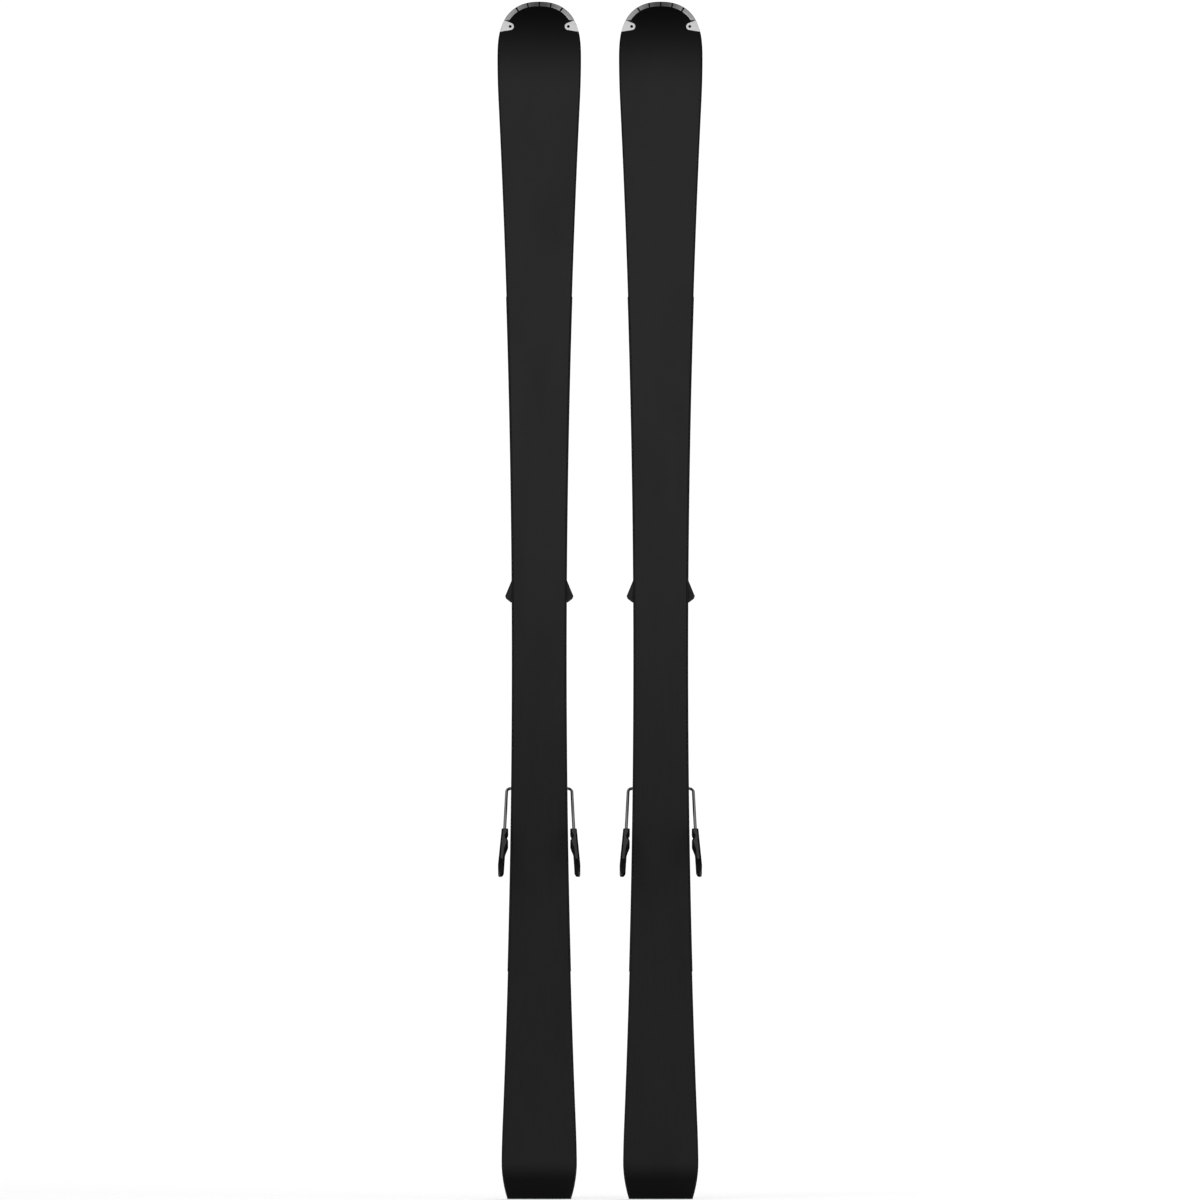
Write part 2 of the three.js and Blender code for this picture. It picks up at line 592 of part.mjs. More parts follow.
function toeHousing() {
  const low = TOE_BASE_TOP + FIT_GAP;
  const rear = TOE_BODY_REAR;
  const front = TOE_BODY_FRONT;
  const lip = rear - TOE_LIP;
  const side = [
    [rear, low], [front, low], [front, TOE_SCREW_HEIGHT + 8], [front - 5, TOE_SCREW_HEIGHT + 13],
    [front - 36, TOE_ROOF - 4], [rear + 12, TOE_ROOF], [lip, TOE_ROOF - 6], [lip, RECESS_TOP + 2],
    [rear, RECESS_TOP + 1],
  ];
  const half = [
    [TOE_BASE_HALF - 2, lip], [TOE_BASE_HALF, front - 45], [TOE_BASE_HALF - 6, front - 8], [16, front],
  ];
  const plan = [...half, ...mirrored(half)];
  const sideways = TOE_BASE_HALF + 10;
  const body = common(
    alongX(roundLoop(side, 2), -sideways, sideways),
    alongY(roundLoop(plan, 4), 0, TOE_ROOF + 20)
  );
  const springRear = WING_PIVOT_Z + TOE_SPRING_AHEAD;
  const springFront = front - TOE_SPRING_BEHIND;
  const recess = (x0, x1) => box(x0, x1, RECESS_BOTTOM, RECESS_TOP, lip - 10, springRear - 3);
  const pinHole = (x) => rodY(WING_PIN_RADIUS + FIT_GAP, x, low + 1.2, RECESS_TOP + 3.2, WING_PIVOT_Z);
  return carve([body], [
    recess(WING_RECESS_INNER, sideways),
    recess(-sideways, -WING_RECESS_INNER),
    pinHole(WING_PIVOT_X),
    pinHole(-WING_PIVOT_X),
    box(-SPRING_ROOM, SPRING_ROOM, low - 1, TOE_SCREW_HEIGHT + SPRING_ROOM, springRear, springFront),
    rodZ(SCREW_SHANK_RADIUS + FIT_GAP, 0, TOE_SCREW_HEIGHT, front - 20, front - 5),
    rodZ(SCREW_HEAD_RADIUS + FIT_GAP, 0, TOE_SCREW_HEIGHT, front - 10, front + 5),
  ]);
}

/** The wing on the +X side; its inner face follows the boot's toe. */
function toeWing(side) {
  const grip = [[35.2, -31.5], [33.3, -24], [29.8, -15], [24, -7], [17.5, 1]];
  const outline = [
    ...arc(WING_PIVOT_X, WING_PIVOT_AHEAD, WING_BOSS_RADIUS, 20, 190, 8),
    ...grip.reverse(),
    [39.5, -31.2], [46, -26.2], [47.4, -22.5], [45.8, -18.5], [38.6, -1],
  ];
  const arm = outline.map(([x, z]) => [x, z + TOE_END]).reverse();
  const plate = alongY(arm, WING_BOTTOM, WING_TOP);
  const pin = rodY(WING_PIN_RADIUS, WING_PIVOT_X, TOE_BASE_TOP + 2, RECESS_TOP + 2.7, WING_PIVOT_Z);
  const wing = carve([plate, pin]);
  return side > 0 ? wing : turned(wing);
}

/** The same piece on the other side of the ski, as a true mirror image. */
function turned(geometry) {
  const image = geometry.index ? geometry.toNonIndexed() : geometry.clone();
  image.scale(-1, 1, 1);
  const position = image.attributes.position;
  for (let i = 1; i < position.count; i += 3) {
    const second = new THREE.Vector3().fromBufferAttribute(position, i);
    const third = new THREE.Vector3().fromBufferAttribute(position, i + 1);
    position.setXYZ(i, ...third.toArray());
    position.setXYZ(i + 1, ...second.toArray());
  }
  return image;
}

class Helix extends THREE.Curve {
  constructor(radius, length, turns) {
    super();
    Object.assign(this, { radius, length, turns });
  }

  getPoint(t, target = new THREE.Vector3()) {
    const angle = 2 * Math.PI * this.turns * t;
    return target.set(this.radius * Math.cos(angle), this.radius * Math.sin(angle), this.length * t);
  }
}

function coilSpring(length, turns) {
  const ring = toShape(arc(0, 0, SPRING_WIRE_RADIUS, 0, 360, 5).slice(0, -1));
  const path = new Helix(SPRING_RADIUS, length, turns);
  return new THREE.ExtrudeGeometry(ring, { steps: 8 * turns, extrudePath: path, bevelEnabled: false });
}

/** A screw on the Z axis with its head's face at z = 0 and its shank running to -Z. */
function releaseScrew(shank) {
  const neck = -SCREW_HEAD_LENGTH;
  const profile = [
    [0, neck - shank], [SCREW_SHANK_RADIUS, neck - shank], [SCREW_SHANK_RADIUS, neck],
    [SCREW_HEAD_RADIUS, neck], [SCREW_HEAD_RADIUS, -0.6], [SCREW_HEAD_RADIUS - 0.6, 0], [0, 0],
  ];
  const points = profile.map(([r, y]) => new THREE.Vector2(r, y));
  const body = new THREE.LatheGeometry(points, 14).rotateX(Math.PI / 2);
  const slot = SCREW_SLOT / 2;
  const reach = SCREW_HEAD_RADIUS + 1;
  return carve([body], [box(-reach, reach, -slot, slot, -2.5, 1)]);
}

function heelCarriage() {
  const saddle = railSaddle(CARRIAGE_HALF, CARRIAGE_TOP, CARRIAGE_REAR, CARRIAGE_FRONT);
  const top = HEEL_PIN_HEIGHT + CHEEK_HEIGHT;
  const foot = CARRIAGE_TOP - 0.5;
  const side = [
    [HEEL_PIN_Z - 16, foot], [HEEL_PIN_Z + 16, foot], [HEEL_PIN_Z + 12, top - 4], [HEEL_PIN_Z + 6, top],
    [HEEL_PIN_Z - 6, top], [HEEL_PIN_Z - 12, top - 4],
  ];
  const outer = CHEEK_INNER + CHEEK_THICK;
  const cheeks = [alongX(side, CHEEK_INNER, outer), alongX(side, -outer, -CHEEK_INNER)];
  const bore = rodX(HEEL_PIN_RADIUS + FIT_GAP, -40, 40, HEEL_PIN_HEIGHT, HEEL_PIN_Z);
  return carve([saddle, ...cheeks], [bore]);
}

// The heel housing, cup, lever, spring and screw are drawn closed, about the heel pin.
const HEEL_FRONT = HEEL_PIN_BEHIND - CUP_CLEARANCE - CUP_WALL - FIT_GAP;

function heelHousing() {
  const side = [
    ...arc(0, 0, 6.5, 215, 300, 4), [HEEL_FRONT - 13, 4], [HEEL_FRONT, 6], [HEEL_FRONT, HEEL_ROOF - 4],
    [HEEL_FRONT - 5, HEEL_ROOF], [-22, HEEL_ROOF], [HEEL_REAR + 4, HEEL_ROOF - 2], [HEEL_REAR, 18],
  ];
  const shoulder = [
    [HEEL_FRONT, 21], [HEEL_FRONT, HEEL_ROOF - 4], [HEEL_FRONT - 5, HEEL_ROOF], [-22, HEEL_ROOF],
    [HEEL_REAR + 4, HEEL_ROOF - 2], [HEEL_REAR + 1, 24], [HEEL_REAR + 12, 21],
  ];
  const ear = [
    [-LEVER_PIVOT_BEHIND - 8, HEEL_ROOF - 4], [-LEVER_PIVOT_BEHIND + 8, HEEL_ROOF - 4],
    ...arc(-LEVER_PIVOT_BEHIND, LEVER_PIVOT_HEIGHT, EAR_RADIUS, 0, 180, 8),
  ];
  const room = [
    [-22, HEEL_SCREW_HEIGHT - 9], [12, HEEL_SCREW_HEIGHT - 9], [12, -12], [HEEL_FRONT - 5, -12],
    [HEEL_FRONT - 5, HEEL_SCREW_HEIGHT + 9], [-22, HEEL_SCREW_HEIGHT + 9],
  ];
  const earOuter = EAR_INNER + EAR_THICK;
  return carve(
    [
      alongX(side, -HEEL_NARROW_HALF, HEEL_NARROW_HALF),
      alongX(shoulder, -HEEL_WIDE_HALF, HEEL_WIDE_HALF),
      alongX(ear, EAR_INNER, earOuter),
      alongX(ear, -earOuter, -EAR_INNER),
    ],
    [
      alongX(room, -SPRING_ROOM, SPRING_ROOM),
      rodX(HEEL_PIN_RADIUS + FIT_GAP, -40, 40, 0, 0),
      rodX(WING_PIN_RADIUS + FIT_GAP, -40, 40, LEVER_PIVOT_HEIGHT, -LEVER_PIVOT_BEHIND),
      rodZ(SCREW_SHANK_RADIUS + FIT_GAP, 0, HEEL_SCREW_HEIGHT, -34, -18),
      rodZ(SCREW_HEAD_RADIUS + FIT_GAP, 0, HEEL_SCREW_HEIGHT, HEEL_REAR - 5, HEEL_REAR + 10),
    ]
  );
}

function heelCup() {
  const back = HEEL_FRONT + FIT_GAP;
  const centre = HEEL_PIN_BEHIND - CUP_CLEARANCE + CUP_RADIUS;
  const outside = [[-18, back], [18, back], [33, back + 13], [37, back + 22]];
  const closeLeft = [[-37, back + 22], [-33, back + 13]];
  const plan = (radius, mouth) => [
    ...outside, ...arc(0, centre, radius, -mouth, mouth - 180, 12), ...closeLeft,
  ];
  const top = HEEL_ROOF - 5;
  return carve([
    alongY(plan(CUP_RADIUS, 30), 8, top),
    alongY(plan(CUP_RADIUS - 8, 35), LEDGE + 0.5, top),
    box(-15, 15, -3, 12, back, back + 5.5),
    box(-15, 15, -3, 1.5, back, back + 14.5),
  ]);
}

function heelLever() {
  const blade = [
    [-11, -3], [-11, 6], [-30, 8], [-LEVER_LENGTH + 12, 6], [-LEVER_LENGTH, 1], [-LEVER_LENGTH, -3],
    [-LEVER_LENGTH + 14, 1], [-30, 1],
  ];
  const neck = [...arc(0, 0, 5.5, -80, 80, 8), [-14, 5.5], [-14, -3]];
  const boss = EAR_INNER - FIT_GAP;
  return carve([
    alongX(roundLoop(blade.reverse(), 2), -19, 19),
    alongX(neck, -boss, boss),
    rodX(WING_PIN_RADIUS, -EAR_INNER - EAR_THICK, EAR_INNER + EAR_THICK, 0, 0),
  ]);
}

// The brake is drawn folded, about its axle: arms to -Z, crank to +Z.
const armLean = BRAKE_ARM_SPREAD / BRAKE_ARM_REACH;
const BRAKE_OUTER_X = halfWidth(BRAKE_AXLE_Z) + SIDEWALL_PROUD + BRAKE_ARM_GAP + BRAKE_WIRE_RADIUS;
const CRANK_ROOM = BRAKE_CRANK_HALF + BRAKE_BEND_RADIUS + FIT_GAP;

function brakeLine() {
  const half = [
    [BRAKE_OUTER_X + BRAKE_ARM_SPREAD, -BRAKE_ARM_REACH], [BRAKE_OUTER_X, 0], [BRAKE_CRANK_HALF, 0],
    [BRAKE_CRANK_HALF, BRAKE_CRANK_REACH],
  ];
  return roundLine([...half, ...mirrored(half)], BRAKE_BEND_RADIUS, 4);
}

const brakeWire = () => barAlong(brakeLine(), BRAKE_WIRE_RADIUS, 8);

function brakePad(side) {
  const start = BRAKE_PAD_START;
  const x = BRAKE_OUTER_X;
  const front = [
    [x + 7, start], [x + 12.2, -141], [x + 11.6, -147], [x + 10, -150], [x + 7, -149], [x + 3.9, -142],
    [x + 3, -122], [x + 2.2, -109], [x - 2.2, -94], [x + 0.4, -84.5], [x - 2.2, -74], [x - 1.6, start],
  ];
  const blade = [
    [start, -7], [start, 7], [-100, 8.5], [-138, 11], [-147, 9], [-151, 4], [-151, -4], [-147, -9],
    [-138, -11], [-100, -8.5],
  ];
  const body = common(
    alongY(roundLoop([...front].reverse(), 0.8, 2), -15, 15),
    alongX(roundLoop([...blade].reverse(), 2, 2), x - 10, x + 20)
  );
  const far = [x + armLean * (BRAKE_ARM_REACH + 1), -BRAKE_ARM_REACH - 1];
  const bore = barAlong([far, [x, 0]], BRAKE_WIRE_RADIUS + FIT_GAP, 8);
  const pad = carve([body], [bore]);
  return side > 0 ? pad : turned(pad);
}

function brakePedal() {
  const corners = slab(-PEDAL_HALF, PEDAL_HALF, PEDAL_BACK, PEDAL_FRONT);
  const plate = alongY(roundLoop(corners, 4), -PEDAL_UNDER, PEDAL_OVER);
  return carve([plate], [barAlong(brakeLine(), BRAKE_WIRE_RADIUS + FIT_GAP, 8)]);
}

function brakeBase() {
  const rear = BRAKE_AXLE_Z - BRAKE_BASE_BEHIND;
  const front = BRAKE_AXLE_Z + BRAKE_BASE_AHEAD;
  const low = CARRIAGE_TOP + FIT_GAP;
  const half = CARRIAGE_HALF - 2;
  return carve(
    [box(-half, half, low, SOLE_PLANE, rear, front)],
    [
      box(-CRANK_ROOM, CRANK_ROOM, low + BRAKE_FLOOR, SOLE_PLANE + 5, rear - 1, front + 1),
      rodX(BRAKE_WIRE_RADIUS + FIT_GAP, -40, 40, BRAKE_AXLE_HEIGHT, BRAKE_AXLE_Z),
    ]
  );
}

// ---- Assembly -----------------------------------------------------------------
function add(group, name, geometry, material) {
  const mesh = new THREE.Mesh(geometry, material());
  mesh.name = name;
  group.add(mesh);
  return mesh;
}

function place(parent, x, y, z, tilt = 0) {
  const group = new THREE.Group();
  group.position.set(x, y, z);
  group.rotation.x = THREE.MathUtils.degToRad(tilt);
  parent.add(group);
  return group;
}

function addLaminate(ski, name, sides) {
  add(ski, `${name}_base_sheet`, baseSheet(), baseBlack);
  add(ski, `${name}_core`, woodCore(), coreWood);
  add(ski, `${name}_top_sheet`, topSheet(), topLacquer);
  add(ski, `${name}_tip_guard`, tipGuard(), guardMetal);
  for (const [label, side] of sides) {
    const lug = side > 0 ? tipLug() : turned(tipLug());
    add(ski, `${name}_${label}_edge`, steelEdge(side), edgeSteel);
    add(ski, `${name}_${label}_sidewall`, sidewall(side), sidewallBlack);
    add(ski, `${name}_${label}_tip_lug`, lug, lugChrome);
  }
}

function addToe(binding, name, sides) {
  add(binding, `${name}_toe_base`, toeBase(), bindingPlastic);
  add(binding, `${name}_toe_housing`, toeHousing(), bindingPlastic);
  add(binding, `${name}_glide_pad`, glidePad(), padGrey);
  for (const [label, side] of sides) {
    add(binding, `${name}_${label}_toe_wing`, toeWing(side), wingPlastic);
  }
  const axis = place(binding, 0, TOE_SCREW_HEIGHT, 0);
  const springRear = WING_PIVOT_Z + TOE_SPRING_AHEAD + TOE_SPRING_CLEARANCE;
  const springFront = TOE_BODY_FRONT - TOE_SPRING_BEHIND - TOE_SPRING_CLEARANCE;
  const spring = add(axis, `${name}_toe_spring`, coilSpring(springFront - springRear, 4), springSteel);
  spring.position.z = springRear;
  const screw = add(axis, `${name}_toe_screw`, releaseScrew(TOE_SCREW_SHANK), springSteel);
  screw.position.z = TOE_BODY_FRONT - SCREW_SUNK;
}

function addHeel(binding, name) {
  const reach = CHEEK_INNER + CHEEK_THICK;
  add(binding, `${name}_heel_carriage`, heelCarriage(), bindingPlastic);
  const pin = rodX(HEEL_PIN_RADIUS, -reach, reach, HEEL_PIN_HEIGHT, HEEL_PIN_Z);
  add(binding, `${name}_heel_pin`, pin, springSteel);
  const head = place(binding, 0, HEEL_PIN_HEIGHT, HEEL_PIN_Z, -HEEL_OPEN_ANGLE);
  add(head, `${name}_heel_housing`, heelHousing(), bindingPlastic);
  add(head, `${name}_heel_cup`, heelCup(), wingPlastic);
  const springLength = HEEL_FRONT - HEEL_SPRING_FRONT_ROOM - HEEL_SPRING_START;
  const spring = add(head, `${name}_heel_spring`, coilSpring(springLength, 5), springSteel);
  spring.position.set(0, HEEL_SCREW_HEIGHT, HEEL_SPRING_START);
  const screw = add(head, `${name}_heel_screw`, releaseScrew(HEEL_SCREW_SHANK), springSteel);
  screw.position.set(0, HEEL_SCREW_HEIGHT, HEEL_REAR + HEEL_SCREW_SUNK);
  screw.rotation.y = Math.PI;
  const lever = place(head, 0, LEVER_PIVOT_HEIGHT, -LEVER_PIVOT_BEHIND, LEVER_REST_ANGLE);
  add(lever, `${name}_heel_lever`, heelLever(), bindingPlastic);
}

function addBrake(binding, name, sides) {
  add(binding, `${name}_brake_base`, brakeBase(), bindingPlastic);
  const brake = place(binding, 0, BRAKE_AXLE_HEIGHT, BRAKE_AXLE_Z, -BRAKE_OPEN_ANGLE);
  add(brake, `${name}_brake_wire`, brakeWire(), springSteel);
  add(brake, `${name}_brake_pedal`, brakePedal(), brakePlastic);
  for (const [label, side] of sides) {
    add(brake, `${name}_${label}_brake_pad`, brakePad(side), brakePlastic);
  }
}

function addSki(pair, name, x, sides) {
  const ski = place(pair, x, 0, 0);
  addLaminate(ski, name, sides);
  const binding = place(ski, 0, DECK, 0);
  add(binding, `${name}_binding_plate`, bindingPlate(), bindingPlastic);
  addToe(binding, name, sides);
  addHeel(binding, name);
  addBrake(binding, name, sides);
}

const skis = new THREE.Group();
addSki(skis, 'left', -SKI_SPACING / 2, [['outer', -1], ['inner', 1]]);
addSki(skis, 'right', SKI_SPACING / 2, [['inner', -1], ['outer', 1]]);

// The origin lies on the floor, under the middle of the pair.
const middle = new THREE.Box3().setFromObject(skis, true).getCenter(new THREE.Vector3());
skis.position.y = -middle.y;

export default skis;
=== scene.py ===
"""Looks of a pair of alpine skis with step-in bindings, standing on their tails.

Shapes are worked out in millimetres in each ski's own frame: X across the ski from its centre
line, Y from the running base towards the binding, and Z from the tail to the tip. They are put
in place, in metres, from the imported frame.
"""
import json
import logging
import math
from dataclasses import dataclass, field
from enum import Enum
from typing import Callable, Iterable, Optional, Sequence, Union

import bmesh
import bpy
import numpy as np
from mathutils import Matrix, Vector


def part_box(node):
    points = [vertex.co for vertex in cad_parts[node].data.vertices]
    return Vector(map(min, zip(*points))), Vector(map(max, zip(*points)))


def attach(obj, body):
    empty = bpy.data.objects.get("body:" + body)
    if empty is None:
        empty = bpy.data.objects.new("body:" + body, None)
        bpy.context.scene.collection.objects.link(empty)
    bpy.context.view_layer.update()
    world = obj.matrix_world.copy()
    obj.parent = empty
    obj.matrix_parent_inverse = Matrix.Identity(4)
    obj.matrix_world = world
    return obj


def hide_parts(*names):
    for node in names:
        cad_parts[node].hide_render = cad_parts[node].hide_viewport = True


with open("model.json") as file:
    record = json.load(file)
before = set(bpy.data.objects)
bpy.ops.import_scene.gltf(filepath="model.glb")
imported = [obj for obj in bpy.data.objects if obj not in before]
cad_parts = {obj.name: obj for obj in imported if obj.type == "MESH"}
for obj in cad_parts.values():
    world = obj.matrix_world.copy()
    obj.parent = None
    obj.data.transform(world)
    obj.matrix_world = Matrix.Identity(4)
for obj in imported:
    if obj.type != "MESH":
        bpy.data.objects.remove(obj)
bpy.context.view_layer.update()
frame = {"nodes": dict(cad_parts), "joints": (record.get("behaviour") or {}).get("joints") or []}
MM = 0.001
SKI_LENGTH = 1660.0
SKI_SPACING = 168.4
SCREEN_WHITE = 255
SCREEN_GAMMA = 2.2
BUILD_WELD = 1e-4
NODE_WELD = 1e-3
FLAT_ANGLE = 0.5
MOST_OF_SIDE = 0.45
LOG = logging.getLogger("skis")

Point = tuple[float, ...]
Points = Sequence[Point]


# ---- Shader kit ------------------------------------------------------------------------------
class Value:
    """A shader socket that takes part in arithmetic."""

    def __init__(self, net: "Net", socket: bpy.types.NodeSocket) -> None:
        """Keeps the socket and the net of nodes that it belongs to."""
        self.net = net
        self.socket = socket

    def _math(self, operation: str, first: "Number", second: "Number") -> "Value":
        """Adds a Math node for two operands."""
        return self.net.node("ShaderNodeMath", {"operation": operation}, {0: first, 1: second})

    def __add__(self, other: "Number") -> "Value":
        """Sum with a number or socket."""
        return self._math("ADD", self, other)

    def __radd__(self, other: "Number") -> "Value":
        """Sum with a number on the left."""
        return self._math("ADD", other, self)

    def __sub__(self, other: "Number") -> "Value":
        """Difference with a number or socket."""
        return self._math("SUBTRACT", self, other)

    def __rsub__(self, other: "Number") -> "Value":
        """Difference from a number on the left."""
        return self._math("SUBTRACT", other, self)

    def __mul__(self, other: "Number") -> "Value":
        """Product with a number or socket."""
        return self._math("MULTIPLY", self, other)

    def __rmul__(self, other: "Number") -> "Value":
        """Product with a number on the left."""
        return self._math("MULTIPLY", other, self)

    def __mod__(self, other: "Number") -> "Value":
        """Remainder, always positive."""
        return self._math("FLOORED_MODULO", self, other)

    def __abs__(self) -> "Value":
        """Size without sign."""
        return self._math("ABSOLUTE", self, 0.0)

    def rise(self, low: float, high: float) -> "Value":
        """Smooth mask that goes from 0 to 1.

        Args:
            low: Where the mask leaves 0.
            high: Where the mask reaches 1.

        Returns:
            The mask.
        """
        sockets = {"Value": self, "From Min": low, "From Max": high}
        return self.net.node("ShaderNodeMapRange", {"interpolation_type": "SMOOTHSTEP"}, sockets)


Number = Union[float, Value]


class Net:
    """A net of shader nodes, with the place of the shaded point and its three parts."""

    def __init__(self, tree: bpy.types.NodeTree, coordinates: str) -> None:
        """Keeps the tree and adds the nodes that give the place.

        Args:
            tree: The node tree of a material or of the world.
            coordinates: Name of the coordinates to use.
        """
        self.tree = tree
        self.place = self.node("ShaderNodeTexCoord", output=coordinates)
        parts = self.node("ShaderNodeSeparateXYZ", inputs={0: self.place}).socket.node.outputs
        self.x, self.y, self.z = (Value(self, part) for part in parts)

    def node(
        self,
        kind: str,
        settings: Optional[dict] = None,
        inputs: Optional[dict] = None,
        output: Union[int, str] = 0,
    ) -> Value:
        """Adds a node.

        Args:
            kind: The node's type.
            settings: Its properties, set before its sockets.
            inputs: Values or links by socket name or number.
            output: The output that is handed back.

        Returns:
            The output socket.
        """
        node = self.tree.nodes.new(kind)
        for key, value in (settings or {}).items():
            setattr(node, key, value)
        for key, value in (inputs or {}).items():
            self.feed(node.inputs[key], value)
        return Value(self, node.outputs[output])

    def feed(self, socket: bpy.types.NodeSocket, value: object) -> None:
        """Links a value to a socket, or sets the socket's own number or colour.

        Args:
            socket: The socket.
            value: A link, a number or a colour.
        """
        if isinstance(value, Value):
            self.tree.links.new(value.socket, socket)
        elif isinstance(value, tuple) and socket.type == "RGBA":
            socket.default_value = (*value, 1.0)
        else:
            socket.default_value = value


class Shader(Net):
    """A material built from one Principled surface and the nodes that vary it."""

    def __init__(self, name: str) -> None:
        """Makes the material with its surface node.

        Args:
            name: Name of the material.
        """
        self.material = bpy.data.materials.new(name)
        self.material.use_nodes = True
        super().__init__(self.material.node_tree, "Object")
        self.surface = self.tree.nodes["Principled BSDF"]

    def mix(self, factor: Number, first: object, second: object) -> Value:
        """Colour between two colours.

        Args:
            factor: 0 for the first colour and 1 for the second.
            first: Colour or link.
            second: Colour or link.

        Returns:
            The mixed colour.
        """
        return self.node("ShaderNodeMix", {"data_type": "RGBA"}, {0: factor, 6: first, 7: second}, 2)

    def noise(self, size: float, stretch: Point = (1, 1, 1), detail: float = 2.0) -> Value:
        """Noise of a given real size.

        Args:
            size: Size of a feature in millimetres.
            stretch: How many times longer a feature is along each axis.
            detail: Levels of finer noise on it.

        Returns:
            Noise from 0 to 1.
        """
        scale = tuple(1 / (size * MM * part) for part in stretch)
        place = self.node("ShaderNodeVectorMath", {"operation": "MULTIPLY"}, {0: self.place, 1: scale})
        return self.node("ShaderNodeTexNoise", None, {"Vector": place, "Scale": 1.0, "Detail": detail})

    def bump(self, height: Value, depth: float, below: Optional[Value] = None) -> Value:
        """Normal of a relief.

        Args:
            height: Relief from 0 to 1.
            depth: Its depth in millimetres.
            below: Normal of a relief that it lies on.

        Returns:
            The normal.
        """
        inputs: dict = {"Height": height, "Distance": depth * MM, "Strength": 1.0}
        if below:
            inputs["Normal"] = below
        return self.node("ShaderNodeBump", None, inputs)

    def dress(self, **sockets: object) -> bpy.types.Material:
        """Sets the surface's sockets, with spaces in their names written as underscores.

        Args:
            sockets: Numbers, colours or links.

        Returns:
            The material.
        """
        for name, value in sockets.items():
            self.feed(self.surface.inputs[name.replace("_", " ")], value)
        return self.material


def grey(level: float) -> Point:
    """Linear colour of a screen grey from 0 to 255."""
    return ((level / SCREEN_WHITE) ** SCREEN_GAMMA,) * 3


# ---- Mesh kit --------------------------------------------------------------------------------
class Form:
    """A closed mesh in millimetres that is shaped step by step."""

    def __init__(self, mesh: bpy.types.Mesh) -> None:
        """Keeps the mesh."""
        self.mesh = mesh

    @classmethod
    def of(cls, points: Iterable[Point], faces: Iterable[Sequence[int]]) -> "Form":
        """Form from points and faces, with its faces turned outwards.

        Args:
            points: Corners.
            faces: Corner numbers of each face.

        Returns:
            The form.
        """
        mesh = bpy.data.meshes.new("form")
        mesh.from_pydata([tuple(map(float, point)) for point in points], [], list(faces))
        return cls(mesh)._welded(BUILD_WELD)

    @classmethod
    def of_node(cls, node: str, to_local: Matrix) -> "Form":
        """Copy of a frame piece.

        Args:
            node: Its name.
            to_local: Takes it, in millimetres, into the frame that it is shaped in.

        Returns:
            The form.
        """
        mesh = frame["nodes"][node].data.copy()
        mesh.materials.clear()
        mesh.transform(to_local @ Matrix.Scale(1 / MM, 4))
        return cls(mesh)._welded(NODE_WELD)

    def _welded(self, distance: float) -> "Form":
        """The form with its double corners joined and its faces turned outwards.

        Args:
            distance: How far apart two corners may be to be joined.

        Returns:
            The form.
        """
        shape = bmesh.new()
        shape.from_mesh(self.mesh)
        bmesh.ops.remove_doubles(shape, verts=shape.verts, dist=distance)
        bmesh.ops.recalc_face_normals(shape, faces=shape.faces)
        shape.to_mesh(self.mesh)
        shape.free()
        return self

    def _modified(self, kind: str, **settings: object) -> "Form":
        """The form with one modifier applied.

        Args:
            kind: Type of the modifier.
            settings: Its properties.

        Returns:
            The form.
        """
        holder = bpy.data.objects.new("holder", self.mesh)
        bpy.context.scene.collection.objects.link(holder)
        modifier = holder.modifiers.new(kind, kind)
        for key, value in settings.items():
            setattr(modifier, key, value)
        graph = bpy.context.evaluated_depsgraph_get()
        mesh = bpy.data.meshes.new_from_object(holder.evaluated_get(graph))
        bpy.data.objects.remove(holder)
        return Form(mesh)

    def _combined(self, other: "Form", operation: str) -> "Form":
        """The form cut by another one, or cut down to it.

        Args:
            other: The other form.
            operation: Name of the boolean operation.

        Returns:
            The form.
        """
        tool = bpy.data.objects.new("tool", other.mesh)
        bpy.context.scene.collection.objects.link(tool)
        result = self._modified("BOOLEAN", operation=operation, object=tool, solver="EXACT")
        bpy.data.objects.remove(tool)
        return result

    def cut(self, *tools: "Form") -> "Form":
        """The form with other forms cut away.

        Args:
            tools: The forms to cut with.

        Returns:
            What is left.
        """
        result = self
        for tool in tools:
            result = result._combined(tool, "DIFFERENCE")
        return result

    def within(self, other: "Form") -> "Form":
        """The part of the form inside another one."""
        return self._combined(other, "INTERSECT")

    def with_more(self, *others: "Form") -> "Form":
        """The form with loose forms laid into the same mesh.

        Args:
            others: The forms to add.

        Returns:
            All of them as one mesh.
        """
        shape = bmesh.new()
        for form in (self, *others):
            shape.from_mesh(form.mesh)
        mesh = bpy.data.meshes.new("form")
        shape.to_mesh(mesh)
        shape.free()
        return Form(mesh)

    def flattened(self) -> "Form":
        """The form with its flat stretches made into single faces."""
        limit = math.radians(FLAT_ANGLE)
        return self._modified("DECIMATE", decimate_type="DISSOLVE", angle_limit=limit)

    def bevelled(self, width: float, segments: int = 3, angle: float = 32) -> "Form":
        """The form with its sharp edges rounded.

        Args:
            width: Width of the rounding.
            segments: Steps over it.
            angle: Degrees from which an edge counts as sharp.

        Returns:
            The rounded form.
        """
        sizes = {"width": width, "segments": segments, "angle_limit": math.radians(angle)}
        return self._modified("BEVEL", harden_normals=False, **sizes)

    def moulded(self, voxel: float, passes: int = 4, keep: float = 0.35) -> "Form":
        """The form as one soft-edged casting: parts that touch flow together.

        Args:
            voxel: Size of its cells.
            passes: How often it is smoothed.
            keep: Share of its faces that stay.

        Returns:
            The cast form.
        """
        cast = self._modified("REMESH", mode="VOXEL", voxel_size=voxel, adaptivity=0.0)
        cast = cast._modified("SMOOTH", factor=0.5, iterations=passes)
        return cast._modified("DECIMATE", ratio=keep)

    def moved(self, matrix: Matrix) -> "Form":
        """Copy of the form, moved.

        Args:
            matrix: Takes the form to its new place.

        Returns:
            The copy.
        """
        mesh = self.mesh.copy()
        mesh.transform(matrix)
        return Form(mesh)

